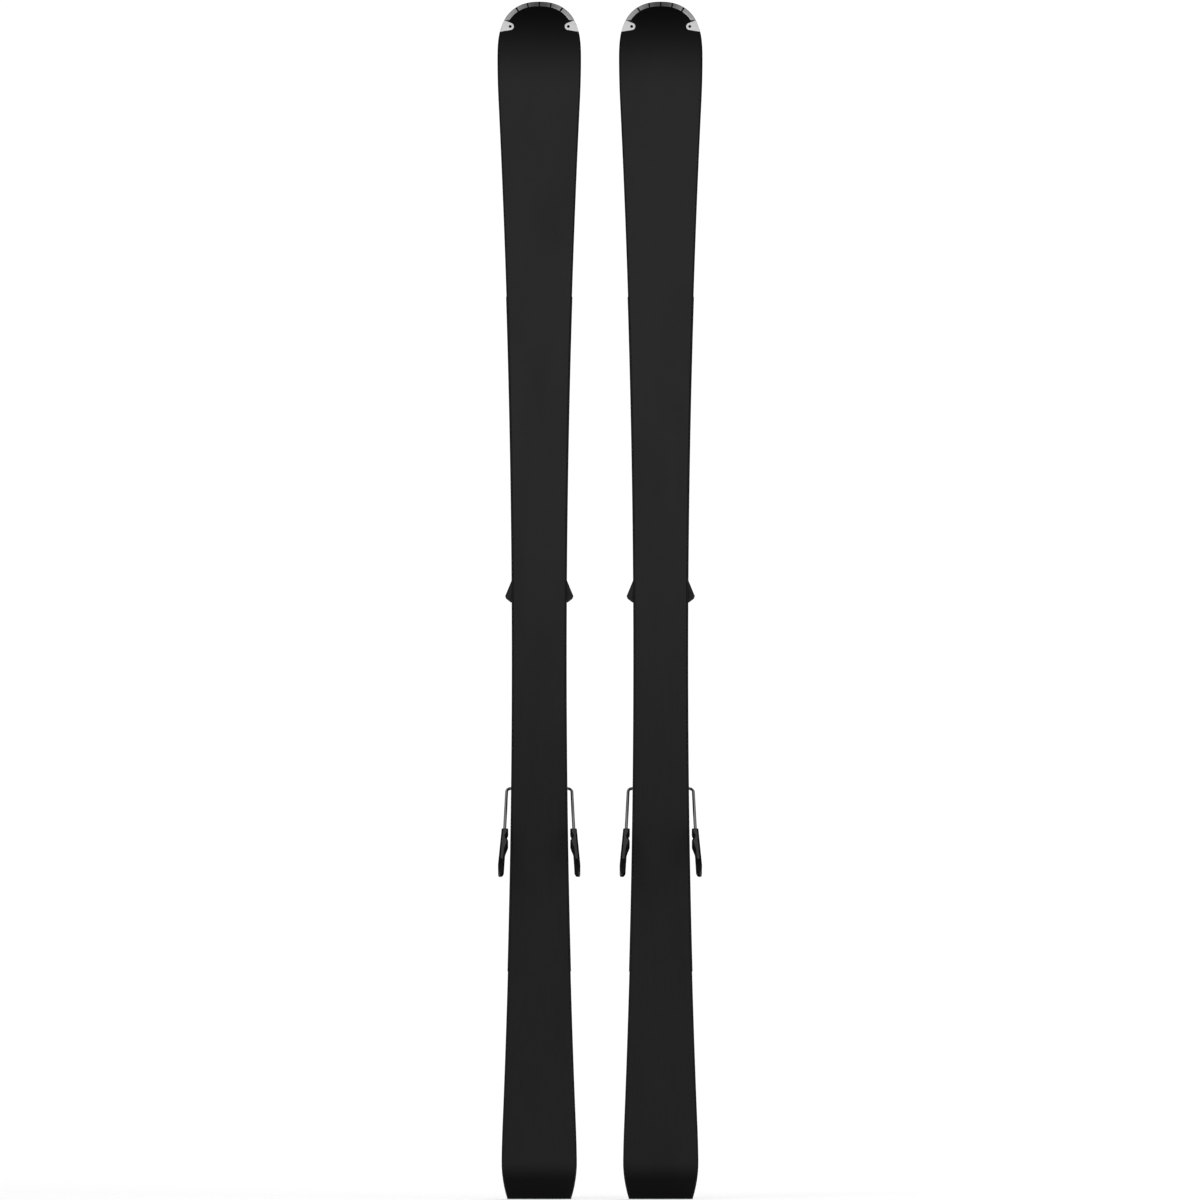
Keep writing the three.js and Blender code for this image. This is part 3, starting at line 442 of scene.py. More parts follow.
    def mirrored(self) -> "Form":
        """Copy of the form on the other side of the ski."""
        form = self.moved(Matrix.Scale(-1, 4, (1, 0, 0)))
        form.mesh.flip_normals()
        return form

    def warped(self, rule: Callable[[Vector], Point]) -> "Form":
        """The form with each corner moved by a rule.

        Args:
            rule: Gives a corner's new place.

        Returns:
            The form.
        """
        for vertex in self.mesh.vertices:
            vertex.co = rule(vertex.co)
        return self


def loft(sections: Sequence[Points], closed: bool = False) -> Form:
    """A body through sections with the same number of corners.

    Args:
        sections: Corners of each section.
        closed: Whether the last section joins the first one.

    Returns:
        The body.
    """
    count = len(sections[0])
    rows = len(sections)
    points = [point for section in sections for point in section]
    faces = []
    for row in range(rows if closed else rows - 1):
        start = row * count
        after = (row + 1) % rows * count
        for i in range(count):
            j = (i + 1) % count
            faces.append((start + i, start + j, after + j, after + i))
    if not closed:
        faces.append(tuple(range(count))[::-1])
        faces.append(tuple(range((rows - 1) * count, rows * count)))
    return Form.of(points, faces)


class Axis(Enum):
    """Direction that an outline is raised along, with the order of its two coordinates."""

    X = (0, (2, 1))
    Y = (1, (0, 2))
    Z = (2, (0, 1))


def prism(axis: Axis, outline: Points, low: float, high: float) -> Form:
    """An outline raised along an axis.

    Args:
        axis: The direction. X takes points of (z, y), Y of (x, z) and Z of (x, y).
        outline: Corners of the outline.
        low: Where it starts.
        high: Where it ends.

    Returns:
        The prism.
    """
    along, (first, second) = axis.value
    sections = []
    for level in (low, high):
        section = np.zeros((len(outline), 3))
        section[:, along] = level
        section[:, first] = [point[0] for point in outline]
        section[:, second] = [point[1] for point in outline]
        sections.append(section.tolist())
    return loft(sections)


def block(x: Point, y: Point, z: Point) -> Form:
    """A block between two values on each axis."""
    return prism(Axis.Z, [(x[0], y[0]), (x[1], y[0]), (x[1], y[1]), (x[0], y[1])], z[0], z[1])


def arc(centre: Point, radius: float, start: float, end: float, steps: int) -> list[Point]:
    """Points of an arc.

    Args:
        centre: Its centre.
        radius: Its radius.
        start: Angle of the first point, in degrees.
        end: Angle of the last point.
        steps: Number of steps.

    Returns:
        The points.
    """
    angles = np.radians(np.linspace(start, end, steps + 1))
    return [(centre[0] + radius * math.cos(a), centre[1] + radius * math.sin(a)) for a in angles]


def rod(axis: Axis, centre: Point, radius: float, low: float, high: float, sides: int = 32) -> Form:
    """A round bar along an axis.

    Args:
        axis: Its direction.
        centre: Its place across the axis, in the order of `prism`.
        radius: Its radius.
        low: Where it starts.
        high: Where it ends.
        sides: Flats round it.

    Returns:
        The bar.
    """
    return prism(axis, arc(centre, radius, 0, 360, sides)[:-1], low, high)


def bend_round(start: Vector, corner: Vector, end: Vector, steps: int) -> list[Point]:
    """Points of a smooth bend from one place to another round a corner.

    Args:
        start: First point.
        corner: The corner.
        end: Last point.
        steps: Number of steps.

    Returns:
        The points.
    """
    shares = [step / steps for step in range(steps + 1)]
    return [tuple((1 - t) ** 2 * start + 2 * t * (1 - t) * corner + t**2 * end) for t in shares]


def softened(points: Points, radius: float, steps: int = 4, loop: bool = True) -> list[Point]:
    """A line with its corners rounded off.

    Args:
        points: Corners of the line.
        radius: How far each rounding reaches along the sides of its corner.
        steps: Points on each rounding.
        loop: Whether the line closes on itself.

    Returns:
        The rounded line.
    """
    corners = [Vector(point) for point in points]
    count = len(corners)
    result = []
    for i, corner in enumerate(corners):
        if not loop and i in (0, count - 1):
            result.append(tuple(corner))
            continue
        to_before = corners[i - 1] - corner
        to_after = corners[(i + 1) % count] - corner
        start = corner + to_before.normalized() * min(radius, MOST_OF_SIDE * to_before.length)
        end = corner + to_after.normalized() * min(radius, MOST_OF_SIDE * to_after.length)
        result += bend_round(start, corner, end, steps)
    return result


def sweep(line: Points, radius: float, sides: int) -> Form:
    """A round wire along a line in space.

    Args:
        line: Points of the line.
        radius: Radius of the wire.
        sides: Flats round it.

    Returns:
        The wire.
    """
    path = [Vector(point) for point in line]
    ring = arc((0, 0), 1.0, 0, 360, sides)[:-1]
    upward = Vector((0, 1, 0))
    sections = []
    for i, point in enumerate(path):
        along = (path[min(i + 1, len(path) - 1)] - path[max(i - 1, 0)]).normalized()
        side = along.cross(upward).normalized()
        upward = side.cross(along).normalized()
        sections.append([tuple(point + (side * a + upward * b) * radius) for a, b in ring])
    return loft(sections)


# ---- Finishes --------------------------------------------------------------------------------
@dataclass(frozen=True)
class Moulded:
    """Moulded plastic with a fine spark-eroded grain and paler, worn edges."""

    name: str
    tone: Point
    roughness: float = 0.42
    grain: float = 0.35
    grain_depth: float = 0.03
    wear: float = 0.5
    shine: float = 0.4

    def material(self) -> bpy.types.Material:
        """Makes the material.

        Returns:
            The material.
        """
        shader = Shader(self.name)
        cloud = shader.noise(28, detail=4)
        grain = shader.noise(self.grain, detail=3)
        edge = shader.node("ShaderNodeNewGeometry", output="Pointiness").rise(0.52, 0.62)
        pale = tuple(min(part * 2.2 + 0.012, 1.0) for part in self.tone)
        deep = tuple(part * 0.8 for part in self.tone)
        colour = shader.mix(cloud.rise(0.3, 0.7), self.tone, deep)
        colour = shader.mix(edge * cloud.rise(0.35, 0.6) * self.wear, colour, pale)
        rough = self.roughness + (grain - 0.5) * 0.16 + (cloud - 0.5) * 0.12
        scuffs = shader.noise(0.9, stretch=(1, 1, 22)).rise(0.62, 0.72)
        relief = shader.bump(grain, self.grain_depth)
        relief = shader.bump(scuffs, 0.01, relief)
        sockets = {"Base_Color": colour, "Roughness": rough, "Normal": relief}
        return shader.dress(**sockets, Specular_IOR_Level=self.shine)


@dataclass(frozen=True)
class Metal:
    """Drawn, brushed or plated metal."""

    name: str
    tone: Point
    roughness: float = 0.25
    brushed: Point = (1, 1, 30)
    brush_size: float = 0.25
    brush_depth: float = 0.012
    tarnish: float = 0.25
    metallic: float = 1.0

    def material(self) -> bpy.types.Material:
        """Makes the material.

        Returns:
            The material.
        """
        shader = Shader(self.name)
        brush = shader.noise(self.brush_size, stretch=self.brushed, detail=3)
        cloud = shader.noise(14, detail=4)
        dull = tuple(part * 0.6 for part in self.tone)
        colour = shader.mix(cloud.rise(0.45, 0.75) * self.tarnish, self.tone, dull)
        rough = self.roughness + (brush - 0.5) * 0.2 + cloud.rise(0.4, 0.8) * self.tarnish * 0.3
        relief = shader.bump(brush, self.brush_depth)
        return shader.dress(Base_Color=colour, Roughness=rough, Normal=relief, Metallic=self.metallic)


@dataclass(frozen=True)
class FadedMetal:
    """Brushed tip metal with a painted reflection: darker in the middle of the tip and paler towards its
    sides.
    """

    name: str
    middle: Point
    side: Point
    spacing: float = SKI_SPACING * MM

    def material(self) -> bpy.types.Material:
        """Makes the material.

        Returns:
            The material.
        """
        shader = Shader(self.name)
        across = abs(shader.x % self.spacing - self.spacing / 2)
        brush = shader.noise(0.35, stretch=(26, 1, 1), detail=3)
        worn = shader.noise(3, detail=4).rise(0.55, 0.75)
        # Painted reflection: the metal is painted darker in the middle of the tip and paler towards its
        # sides.
        colour = shader.mix(across.rise(0.004, 0.046), self.middle, self.side)
        colour = shader.mix(brush.rise(0.4, 0.75) * 0.35, colour, grey(70))
        colour = shader.mix(worn * 0.3, colour, grey(225))
        rough = 0.34 + (brush - 0.5) * 0.25
        relief = shader.bump(brush, 0.015)
        return shader.dress(Base_Color=colour, Roughness=rough, Normal=relief, Metallic=0.85)


@dataclass(frozen=True)
class RunningBase:
    """Black sintered base with the fine lengthwise structure of a stone grind, painted lighter higher up
    and darker lower down as painted light, with painted shade near black at the tip and the tail.
    """

    name: str
    length: float
    # tone and deep carry painted light: the base is painted lighter higher up and darker lower down.
    tone: Point = grey(46)
    deep: Point = grey(35)
    # end, tip_rise and tail_rise carry painted shade: the base is painted near black towards the upturned
    # tip and tail.
    end: Point = grey(2)
    tone_rise: Point = (0.24, 0.7)
    tip_rise: Point = (0.927, 1.0)
    tail_rise: Point = (0.0145, 0.033)

    def material(self) -> bpy.types.Material:
        """Makes the material.

        Returns:
            The material.
        """
        shader = Shader(self.name)
        groove = shader.noise(0.55, stretch=(1, 1, 90), detail=3)
        cloud = shader.noise(60, stretch=(1, 1, 3), detail=4)
        speck = shader.noise(0.25, detail=1).rise(0.66, 0.76)
        up = shader.z * (1 / (self.length * MM))
        # Painted light: darker low on the ski, lighter higher up.
        colour = shader.mix(up.rise(*self.tone_rise), self.deep, self.tone)
        colour = shader.mix(groove.rise(0.35, 0.7) * 0.18, colour, grey(50))
        colour = shader.mix(cloud.rise(0.4, 0.8) * 0.16, colour, grey(16))
        colour = shader.mix(speck * 0.08, colour, grey(66))
        # Painted shade: the upturned tip and tail are painted near black.
        colour = shader.mix(up.rise(*self.tip_rise), colour, self.end)
        colour = shader.mix(1 - up.rise(*self.tail_rise), colour, self.end)
        rough = 0.46 + (groove - 0.5) * 0.16 + (cloud - 0.5) * 0.1
        relief = shader.bump(groove, 0.012)
        return shader.dress(Base_Color=colour, Roughness=rough, Normal=relief, Specular_IOR_Level=0.1)


@dataclass(frozen=True)
class Lacquer:
    """Printed top sheet under clear lacquer, with plain tone-on-tone bands."""

    name: str
    tone: Point = grey(22)
    band: Point = grey(50)
    pale: Point = grey(112)
    spacing: float = SKI_SPACING * MM
    slope: float = 0.9
    weave_pitch: float = 0.35
    front_band: Point = (1085, 1100, 1495, 1500)
    rear_band: Point = (96, 100, 330, 334)
    stripes: Sequence[Point] = ((1350, 1362), (1376, 1381), (262, 270))
    stripe_edge: float = 2.0

    def material(self) -> bpy.types.Material:
        """Makes the material.

        Returns:
            The material.
        """
        shader = Shader(self.name)
        up = shader.z * (1 / MM)
        slant = up + abs(shader.x % self.spacing - self.spacing / 2) * (self.slope / MM)
        weave = abs((slant * self.weave_pitch) % 2 - 1).rise(0.35, 0.6)
        first, full, last, gone = self.front_band
        front = up.rise(first, full) * (1 - slant.rise(last, gone))
        first, full, last, gone = self.rear_band
        rear = slant.rise(first, full) * (1 - slant.rise(last, gone))
        stripe: Number = 0.0
        for low, high in self.stripes:
            edge = self.stripe_edge
            stripe = stripe + slant.rise(low, low + edge) * (1 - slant.rise(high, high + edge))
        colour = shader.mix((front + rear) * (0.25 + weave * 0.3), self.tone, self.band)
        colour = shader.mix(stripe * 0.8, colour, self.pale)
        dust = shader.noise(0.5, detail=2).rise(0.68, 0.78)
        colour = shader.mix(dust * 0.12, colour, self.pale)
        peel = shader.noise(3.5, detail=2)
        scratch = shader.noise(0.5, stretch=(1, 1, 60)).rise(0.66, 0.74)
        rough = 0.24 + (peel - 0.5) * 0.1 + scratch * 0.2
        relief = shader.bump(scratch, 0.008, shader.bump(peel, 0.02))
        return shader.dress(Base_Color=colour, Roughness=rough, Normal=relief, Specular_IOR_Level=0.35)


@dataclass(frozen=True)
class LaminatedWood:
    """Core glued from lengthwise strips of pale wood."""

    name: str
    strip: float = 11.0

    def material(self) -> bpy.types.Material:
        """Makes the material.

        Returns:
            The material.
        """
        shader = Shader(self.name)
        across = abs((shader.x * (1 / (self.strip * MM))) % 2 - 1).rise(0.46, 0.54)
        grain = shader.noise(0.8, stretch=(1, 1, 50), detail=5)
        colour = shader.mix(across, (0.55, 0.36, 0.19), (0.42, 0.25, 0.12))
        colour = shader.mix(grain.rise(0.45, 0.75) * 0.5, colour, (0.27, 0.15, 0.07))
        rough = 0.6 + (grain - 0.5) * 0.2
        return shader.dress(Base_Color=colour, Roughness=rough, Normal=shader.bump(grain, 0.04))


@dataclass(frozen=True)
class ScaleWindow:
    """Pale release scale with plain ticks across it."""

    name: str
    pitch: float = 2.4

    def material(self) -> bpy.types.Material:
        """Makes the material.

        Returns:
            The material.
        """
        shader = Shader(self.name)
        tick = abs((shader.z * (1 / (self.pitch * MM))) % 1 - 0.5).rise(0.36, 0.4)
        grain = shader.noise(0.6)
        colour = shader.mix(tick, (0.62, 0.63, 0.62), (0.03, 0.03, 0.03))
        colour = shader.mix((grain - 0.4) * 0.2, colour, (0.4, 0.4, 0.38))
        rough = 0.2 + grain * 0.1
        return shader.dress(Base_Color=colour, Roughness=rough, Coat_Weight=0.6)


Finish = Union[Moulded, Metal, FadedMetal, RunningBase, Lacquer, LaminatedWood, ScaleWindow]

SCALE_TICKS = ScaleWindow("release_scale")
# Running base with painted light along its length and painted shade at its tip and tail.
BASE_BLACK = RunningBase("sintered_base", SKI_LENGTH)
EDGE_STEEL = Metal("edge_steel", grey(40), 0.36, (1, 1, 60), 0.3, 0.01, 0.4, 0.9)
CORE_WOOD = LaminatedWood("laminated_wood")
SIDEWALL_PLASTIC = Moulded("sidewall_plastic", grey(18), 0.62, 0.5, 0.02, 0.3, 0.12)
TOP_LACQUER = Lacquer("top_lacquer")
# Tip guard metal with a painted reflection: grey in the middle, near white at the sides.
GUARD_METAL = FadedMetal("brushed_tip_metal", grey(118), grey(245))
GUARD_BLACK = Moulded("guard_backing", grey(2), 0.5, 0.4, 0.02, 0.1, 0.06)
LUG_CHROME = Metal("satin_chrome", grey(254), 0.3, (6, 1, 1), 0.3, 0.006, 0.04, 0.08)
BINDING_BLACK = Moulded("binding_black", grey(30), 0.4)
SHELL_BLACK = Moulded("shell_satin_black", grey(24), 0.32, 0.45, 0.02, 0.25)
JAW_BLACK = Moulded("jaw_black", grey(22), 0.3, 0.3, 0.02, 0.35)
PLATE_BLACK = Moulded("plate_black", grey(38), 0.5, 0.4, 0.03)
LEVER_GREY = Moulded("lever_dark_grey", grey(52), 0.4)
GLIDE_PALE = Moulded("glide_pad_pale", grey(190), 0.28, 0.6, 0.01, 0.2)
BRAKE_RUBBER = Moulded("brake_pad_black", grey(8), 0.5, 0.35, 0.03, 0.2, 0.15)
BRAKE_PANEL = Moulded("brake_panel_grey", grey(70), 0.45, 0.3, 0.03, 0.3, 0.2)
PEDAL_BLACK = Moulded("pedal_black", grey(28), 0.45)
SCREW_STEEL = Metal("screw_zinc", grey(150), 0.28, (1, 1, 1), 0.5, 0.01, 0.35)
SPRING_STEEL = Metal("spring_steel", grey(150), 0.25, (1, 1, 1), 0.4, 0.01, 0.3)
BRAKE_WIRE_STEEL = Metal("brake_wire_steel", grey(205), 0.16, (1, 1, 12), 0.4, 0.006, 0.2)


# ---- Where things stand ------------------------------------------------------------------------
class Side(Enum):
    """The two skis of the pair."""

    LEFT = "left"
    RIGHT = "right"


class Half(Enum):
    """The two halves of one ski, by the sign of X."""

    MINUS = -1
    PLUS = 1


MATERIALS: dict[Finish, bpy.types.Material] = {}


def material_of(finish: Finish) -> bpy.types.Material:
    """The material of a finish, made once."""
    if finish not in MATERIALS:
        MATERIALS[finish] = finish.material()
    return MATERIALS[finish]


@dataclass
class Ski:
    """One ski of the frame: it puts finished forms in their place on it."""

    side: Side
    offset: Vector = field(init=False)
    smooth_angle: float = 35.0

    def __post_init__(self) -> None:
        """Reads the ski's centre line and running plane from the frame."""
        low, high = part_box(self.node("base_sheet"))
        self.offset = Vector(((low.x + high.x) / 2, low.y, 0.0))

    def node(self, name: str) -> str:
        """Name of a frame node on this ski."""
        return f"{self.side.value}_{name}"

    def edge_name(self, half: Half) -> str:
        """Whether a half of this ski faces out or in."""
        outward = Half.MINUS if self.side is Side.LEFT else Half.PLUS
        return "outer" if half is outward else "inner"

    def to_local(self) -> Matrix:
        """Takes the frame's millimetres into this ski's own."""
        return Matrix.Translation(-self.offset / MM)

    def centre_of(self, name: str) -> Vector:
        """Middle of a frame node in this ski's millimetres."""
        low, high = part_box(self.node(name))
        return ((low + high) / 2 - self.offset) / MM

    def joint_at(self, name: str) -> Vector:
        """Place of a frame joint in this ski's millimetres, on its centre line.

        Args:
            name: The joint's name without the ski's.

        Returns:
            The place.
        """
        found = next(joint for joint in frame["joints"] if joint["name"] == self.node(name))
        place = (Vector(found["pos_m"]) - self.offset) / MM
        place.x = 0
        return place

    def form_of(self, name: str, place: Optional[Matrix] = None) -> Form:
        """Copy of a frame node in this ski's millimetres.

        Args:
            name: The node's name without the ski's.
            place: Place of the upright frame that the copy is taken back to.

        Returns:
            The form.
        """
        upright = self.to_local() if place is None else place.inverted() @ self.to_local()
        return Form.of_node(self.node(name), upright)

    def put(
        self,
        form: Form,
        piece: str,
        finish: Finish,
        body: str = "ski",
        replaced: Sequence[str] = (),
    ) -> bpy.types.Object:
        """Places a form as a visible piece.

        Args:
            form: Its shape in this ski's millimetres.
            piece: Its name without the ski's.
            finish: Its finish.
            body: The body that it rides on, without the ski's name.
            replaced: Frame nodes that it stands for, without the ski's name.

        Returns:
            The piece.
        """
        mesh = form.mesh.copy()
        mesh.transform(Matrix.Translation(self.offset) @ Matrix.Scale(MM, 4))
        mesh.materials.clear()
        mesh.materials.append(material_of(finish))
        mesh.polygons.foreach_set("use_smooth", [True] * len(mesh.polygons))
        mesh.set_sharp_from_angle(angle=math.radians(self.smooth_angle))
        shown = bpy.data.objects.new(f"{self.node(piece)}_fine", mesh)
        bpy.context.scene.collection.objects.link(shown)
        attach(shown, self.node(body))
        if replaced:
            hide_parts(*[self.node(name) for name in replaced])
        LOG.info("%s: %d faces", shown.name, len(mesh.polygons))
        return shown

    def put_pair(
        self,
        form: Form,
        piece: str,
        finish: Finish,
        body: str = "ski",
        replaces: bool = True,
    ) -> None:
        """Places a form and its mirror image as the inner and the outer piece.

        Args:
            form: Shape of the piece on the +X half.
            piece: Name of both pieces, without the ski's and without inner or outer.
            finish: Their finish.
            body: The body that they ride on, with {} for inner or outer.
            replaces: Whether they stand for the frame nodes with their names.
        """
        for half in Half:
            label = self.edge_name(half)
            name = f"{label}_{piece}"
            shape = form if half is Half.PLUS else form.mirrored()
            self.put(shape, name, finish, body.format(label), [name] if replaces else ())


# ---- The ski's curves --------------------------------------------------------------------------
@dataclass(frozen=True)
class SkiShape:
    """Outline, side view and layers of one ski, in millimetres."""

    length: float = SKI_LENGTH
    waist_half: float = 37.5
    waist_from_tip: float = 910.0
    sidecut_radius: float = 15700.0
    shovel_half: float = 57.95
    shovel_from_tip: float = 83.0
    tip_power: float = 3.0
    tip_root: float = 0.4385
    tail_half: float = 52.35
    tail_round_length: float = 52.6
    tail_round_radius: float = 169.5
    blend: float = 1.5
    camber: float = 4.0
    flat_rear: float = 418.0
    flat_front: float = 967.0
    front_contact: float = 1525.0
    rear_contact: float = 54.0
    tip_rise: float = 48.0
    tail_rise: float = 9.0
    core_thick: float = 10.5
    core_tip: float = 1.8
    core_tail: float = 2.4
    base_thick: float = 1.8
    glue: float = 0.1
    edge_width: float = 2.2
    sheet: float = 0.8
    wall_start: float = 314.5
    wall_end: float = 1251.2
    wall_thick: float = 4.4
    wall_proud: float = 0.6
    wall_shoulder: float = 1.2
    wall_lean: float = 0.15
    wall_ramp: float = 26.0
    cap_lean: float = 0.28
    top_cut: float = 0.2
    tip_steps: int = 46

    def half_width(self, z: float) -> float:
        """Half width over the steel edges.

        Args:
            z: Height above the ground.

        Returns:
            The half width.
        """
        s = self.length - z
        sidecut = self.waist_half + (s - self.waist_from_tip) ** 2 / (2 * self.sidecut_radius)
        ahead = max((self.shovel_from_tip - s) / self.shovel_from_tip, 0)
        end = self.shovel_half * (1 - ahead**self.tip_power) ** self.tip_root
        if z < self.length / 2:
            past = max(self.tail_round_length - z, 0)
            end = self.tail_half - past**2 / (2 * self.tail_round_radius)
        overlap = max(self.blend - abs(sidecut - end), 0)
        return min(sidecut, end) - overlap**2 / (4 * self.blend)

    def tip_outline(self, x: float) -> float:
        """Height of the tip's outline at a distance from the centre line."""
        ahead = (1 - (abs(x) / self.shovel_half) ** (1 / self.tip_root)) ** (1 / self.tip_power)
        return self.length - self.shovel_from_tip * (1 - ahead)

    def inset(self, x: float, depth: float) -> Point:
        """Point of the tip's outline moved inwards.

        Args:
            x: Distance from the centre line.
            depth: How far it moves in.

        Returns:
            Its x and z.
        """
        step = 0.05
        slope = (self.tip_outline(x + step) - self.tip_outline(x - step)) / (2 * step)
        size = math.hypot(slope, 1)
        return (x + depth * slope / size, self.tip_outline(x) - depth / size)

    @staticmethod
    def ease(share: float) -> float:
        """Cosine step from 1 down to 0."""
        return (1 + math.cos(math.pi * min(max(share, 0), 1))) / 2

    def base_line(self, z: float) -> float:
        """How far the running base stands off its contact lines.

        Args:
            z: Height above the ground.

        Returns:
            The distance.
        """
        front = self.ease((z - self.flat_front) / (self.front_contact - self.flat_front))
        rear = self.ease((self.flat_rear - z) / (self.flat_rear - self.rear_contact))
        tip = max((z - self.front_contact) / (self.length - self.front_contact), 0)
        tail = max((self.rear_contact - z) / self.rear_contact, 0)
        return self.camber * min(front, rear) + self.tip_rise * tip**2 + self.tail_rise * tail**2

    def core_height(self, z: float) -> float:
        """Thickness of the core.

        Args:
            z: Height above the ground.

        Returns:
            The thickness.
        """
        if z > self.flat_front:
            share = self.ease((z - self.flat_front) / (self.length - self.flat_front))
            return self.core_tip + (self.core_thick - self.core_tip) * share
        share = self.ease((self.flat_rear - z) / self.flat_rear)
        return self.core_tail + (self.core_thick - self.core_tail) * share

    def wall_share(self, z: float) -> float:
        """How far the sidewall has taken over from the cap, from 0 to 1."""
        return min(max(min(z - self.wall_start, self.wall_end - z) / self.wall_ramp, 0), 1)

    def stations(self, low: float, high: float, pitch: float = 9.0) -> list[float]:
        """Heights for a fine loft, closer together towards a rounded tip.

        Args:
            low: First height.
            high: Last height.
            pitch: Greatest step.

        Returns:
            The heights.
        """
        bend = min(high, self.length - self.shovel_from_tip)
        levels = list(np.linspace(low, bend, int((bend - low) / pitch) + 2))
        if high > bend:
            shares = np.linspace(1, 0, self.tip_steps)[1:]
            levels += [high - (high - bend) * share**2 for share in shares]
        return levels


@dataclass
class Laminate:
    """The ski itself: running base, steel edges, core, sidewalls and top sheet."""

    shape: SkiShape
    guard_width: float = 6.5
    guard_span: float = 46.6
    guard_gap: float = 0.3
    chamfer: float = 0.25
    skin_room: float = 0.6
    wall_chamfer: float = 0.2
    wall_rounding: float = 1.2
    cap_rounding: float = 2.2

    def _layer(self, levels: Iterable[float], section: Callable[[float], Points]) -> Form:
        """Loft along the ski.

        Args:
            levels: Heights of the sections.
            section: Gives a section of (x, y above the running base) at a height.

        Returns:
            The form.
        """
        rows = []
        for z in levels:
            rise = self.shape.base_line(z)
            rows.append([(x, y + rise, z) for x, y in section(z)])
        return loft(rows)

    def _slab(self, left: float, right: float, low: float, high: float) -> Points:
        """Rectangle with small chamfers on its running side.

        Args:
            left: Its first x.
            right: Its last x.
            low: Its running side.
            high: Its top.

        Returns:
            Its corners.
        """
        cut = self.chamfer
        running = [(left + cut, low), (right - cut, low), (right, low + cut)]
        return [*running, (right, high), (left, high), (left, low + cut)]

    def running_base(self, lug: Form) -> Form:
        """Base sheet with room for the tip guard and the lugs.

        Args:
            lug: What is cut out for the lug on the +X half.

        Returns:
            The form.
        """
        shape = self.shape
        depth = self.guard_width + self.guard_gap
        inner = [shape.inset(x, depth) for x in np.linspace(0, self.guard_span, 80)]
        heights = [z for _, z in inner][::-1]
        widths = [x for x, _ in inner][::-1]
        top = inner[0][1]
        foot = inner[-1][1]

        def section(z: float) -> Points:
            """Section between the steel edges, and under the tip guard.

            Args:
                z: Height above the ground.

            Returns:
                Its corners.
            """
            half = shape.half_width(z) - shape.edge_width - shape.glue
            if z >= foot:
                half = min(half, max(float(np.interp(z, heights, widths)), 1.0))
            return self._slab(-half, half, 0, shape.base_thick)

        below = shape.stations(0, foot - 0.02)
        above = [top - 0.05 - (top - foot) * share**2 for share in np.linspace(0.99, 0, 40)]
        return self._layer([*below, *above], section).cut(lug, lug.mirrored())

    def edge(self, top: float) -> Form:
        """Steel edge on the +X half.

        Args:
            top: Height that it ends at.

        Returns:
            The form.
        """
        shape = self.shape

        def section(z: float) -> Points:
            """Section along the outline.

            Args:
                z: Height above the ground.

            Returns:
                Its corners.
            """
            outer = shape.half_width(z)
            return self._slab(outer - shape.edge_width, outer, 0, shape.base_thick)

        return self._layer(shape.stations(0, top), section)

    def core(self) -> Form:
        """Wood core.

        Returns:
            The form.
        """
        shape = self.shape

        def section(z: float) -> Points:
            """Section between the sidewalls, or under the cap's sides.

            Args:
                z: Height above the ground.

            Returns:
                Its corners.
            """
            walled = shape.wall_start < z < shape.wall_end
            inset = shape.wall_thick + 2 * shape.glue if walled else shape.sheet + self.skin_room
            lean = shape.wall_lean if walled else shape.cap_lean
            low = shape.base_thick + shape.glue
            thick = shape.core_height(z)
            foot = max(shape.half_width(z) - inset, 2)
            crown = foot - lean * thick
            return [(-foot, low), (foot, low), (crown, low + thick), (-crown, low + thick)]

        return self._layer(shape.stations(0, shape.length - shape.top_cut), section)

    def sidewall(self) -> Form:
        """Sidewall on the +X half, rising out of the cap at its ends.

        Returns:
            The form.
        """
        shape = self.shape

        def section(z: float) -> Points:
            """Section with a rounded shoulder.

            Args:
                z: Height above the ground.

            Returns:
                Its corners.
            """
            low = shape.base_thick + shape.glue
            height = (shape.core_height(z) - shape.wall_shoulder) * max(shape.wall_share(z), 0.1)
            outer = shape.half_width(z) + shape.wall_proud
            inner = shape.half_width(z) - shape.wall_thick
            crown = outer - shape.wall_lean * height
            top = low + height
            bend = min(self.wall_rounding, 0.4 * height)
            shoulder = arc((crown - bend, top - bend), bend, 0, 90, 4)
            cut = self.wall_chamfer
            return [(inner, low), (outer - cut, low), (outer, low + cut), *shoulder, (inner, top)]

        return self._layer(shape.stations(shape.wall_start + 1, shape.wall_end - 1), section)

    def top_sheet(self) -> Form:
        """Top sheet that folds down as a cap in front of and behind the sidewalls.

        Returns:
            The form.
        """
        shape = self.shape

        def section(z: float) -> Points:
            """Section with rounded corners and legs that reach down beside the core.

            Args:
                z: Height above the ground.

            Returns:
                Its corners.
            """
            low = shape.base_thick + shape.glue
            under = low + shape.core_height(z) + shape.glue
            top = under + shape.sheet
            leg = low + (under - shape.sheet - low) * shape.wall_share(z)
            foot = max(shape.half_width(z) - shape.glue, 3)
            crown = foot - shape.cap_lean * (top - leg)
            inside = foot - shape.sheet
            crown_inside = inside - shape.cap_lean * (under - leg)
            bend = min(self.cap_rounding, MOST_OF_SIDE * math.hypot(foot - crown, top - leg))
            side = Vector((foot - crown, leg - top)).normalized() * bend
            corner = Vector((crown, top))
            start = Vector((crown + side.x, top + side.y))
            right = bend_round(start, corner, Vector((crown - bend, top)), 5)
            left = [(-x, y) for x, y in reversed(right)]
            skin = [(foot, leg), *right, *left, (-foot, leg)]
            return [*skin, (-inside, leg), (-crown_inside, under), (crown_inside, under), (inside, leg)]

        return self._layer(shape.stations(0, shape.length - shape.top_cut), section)

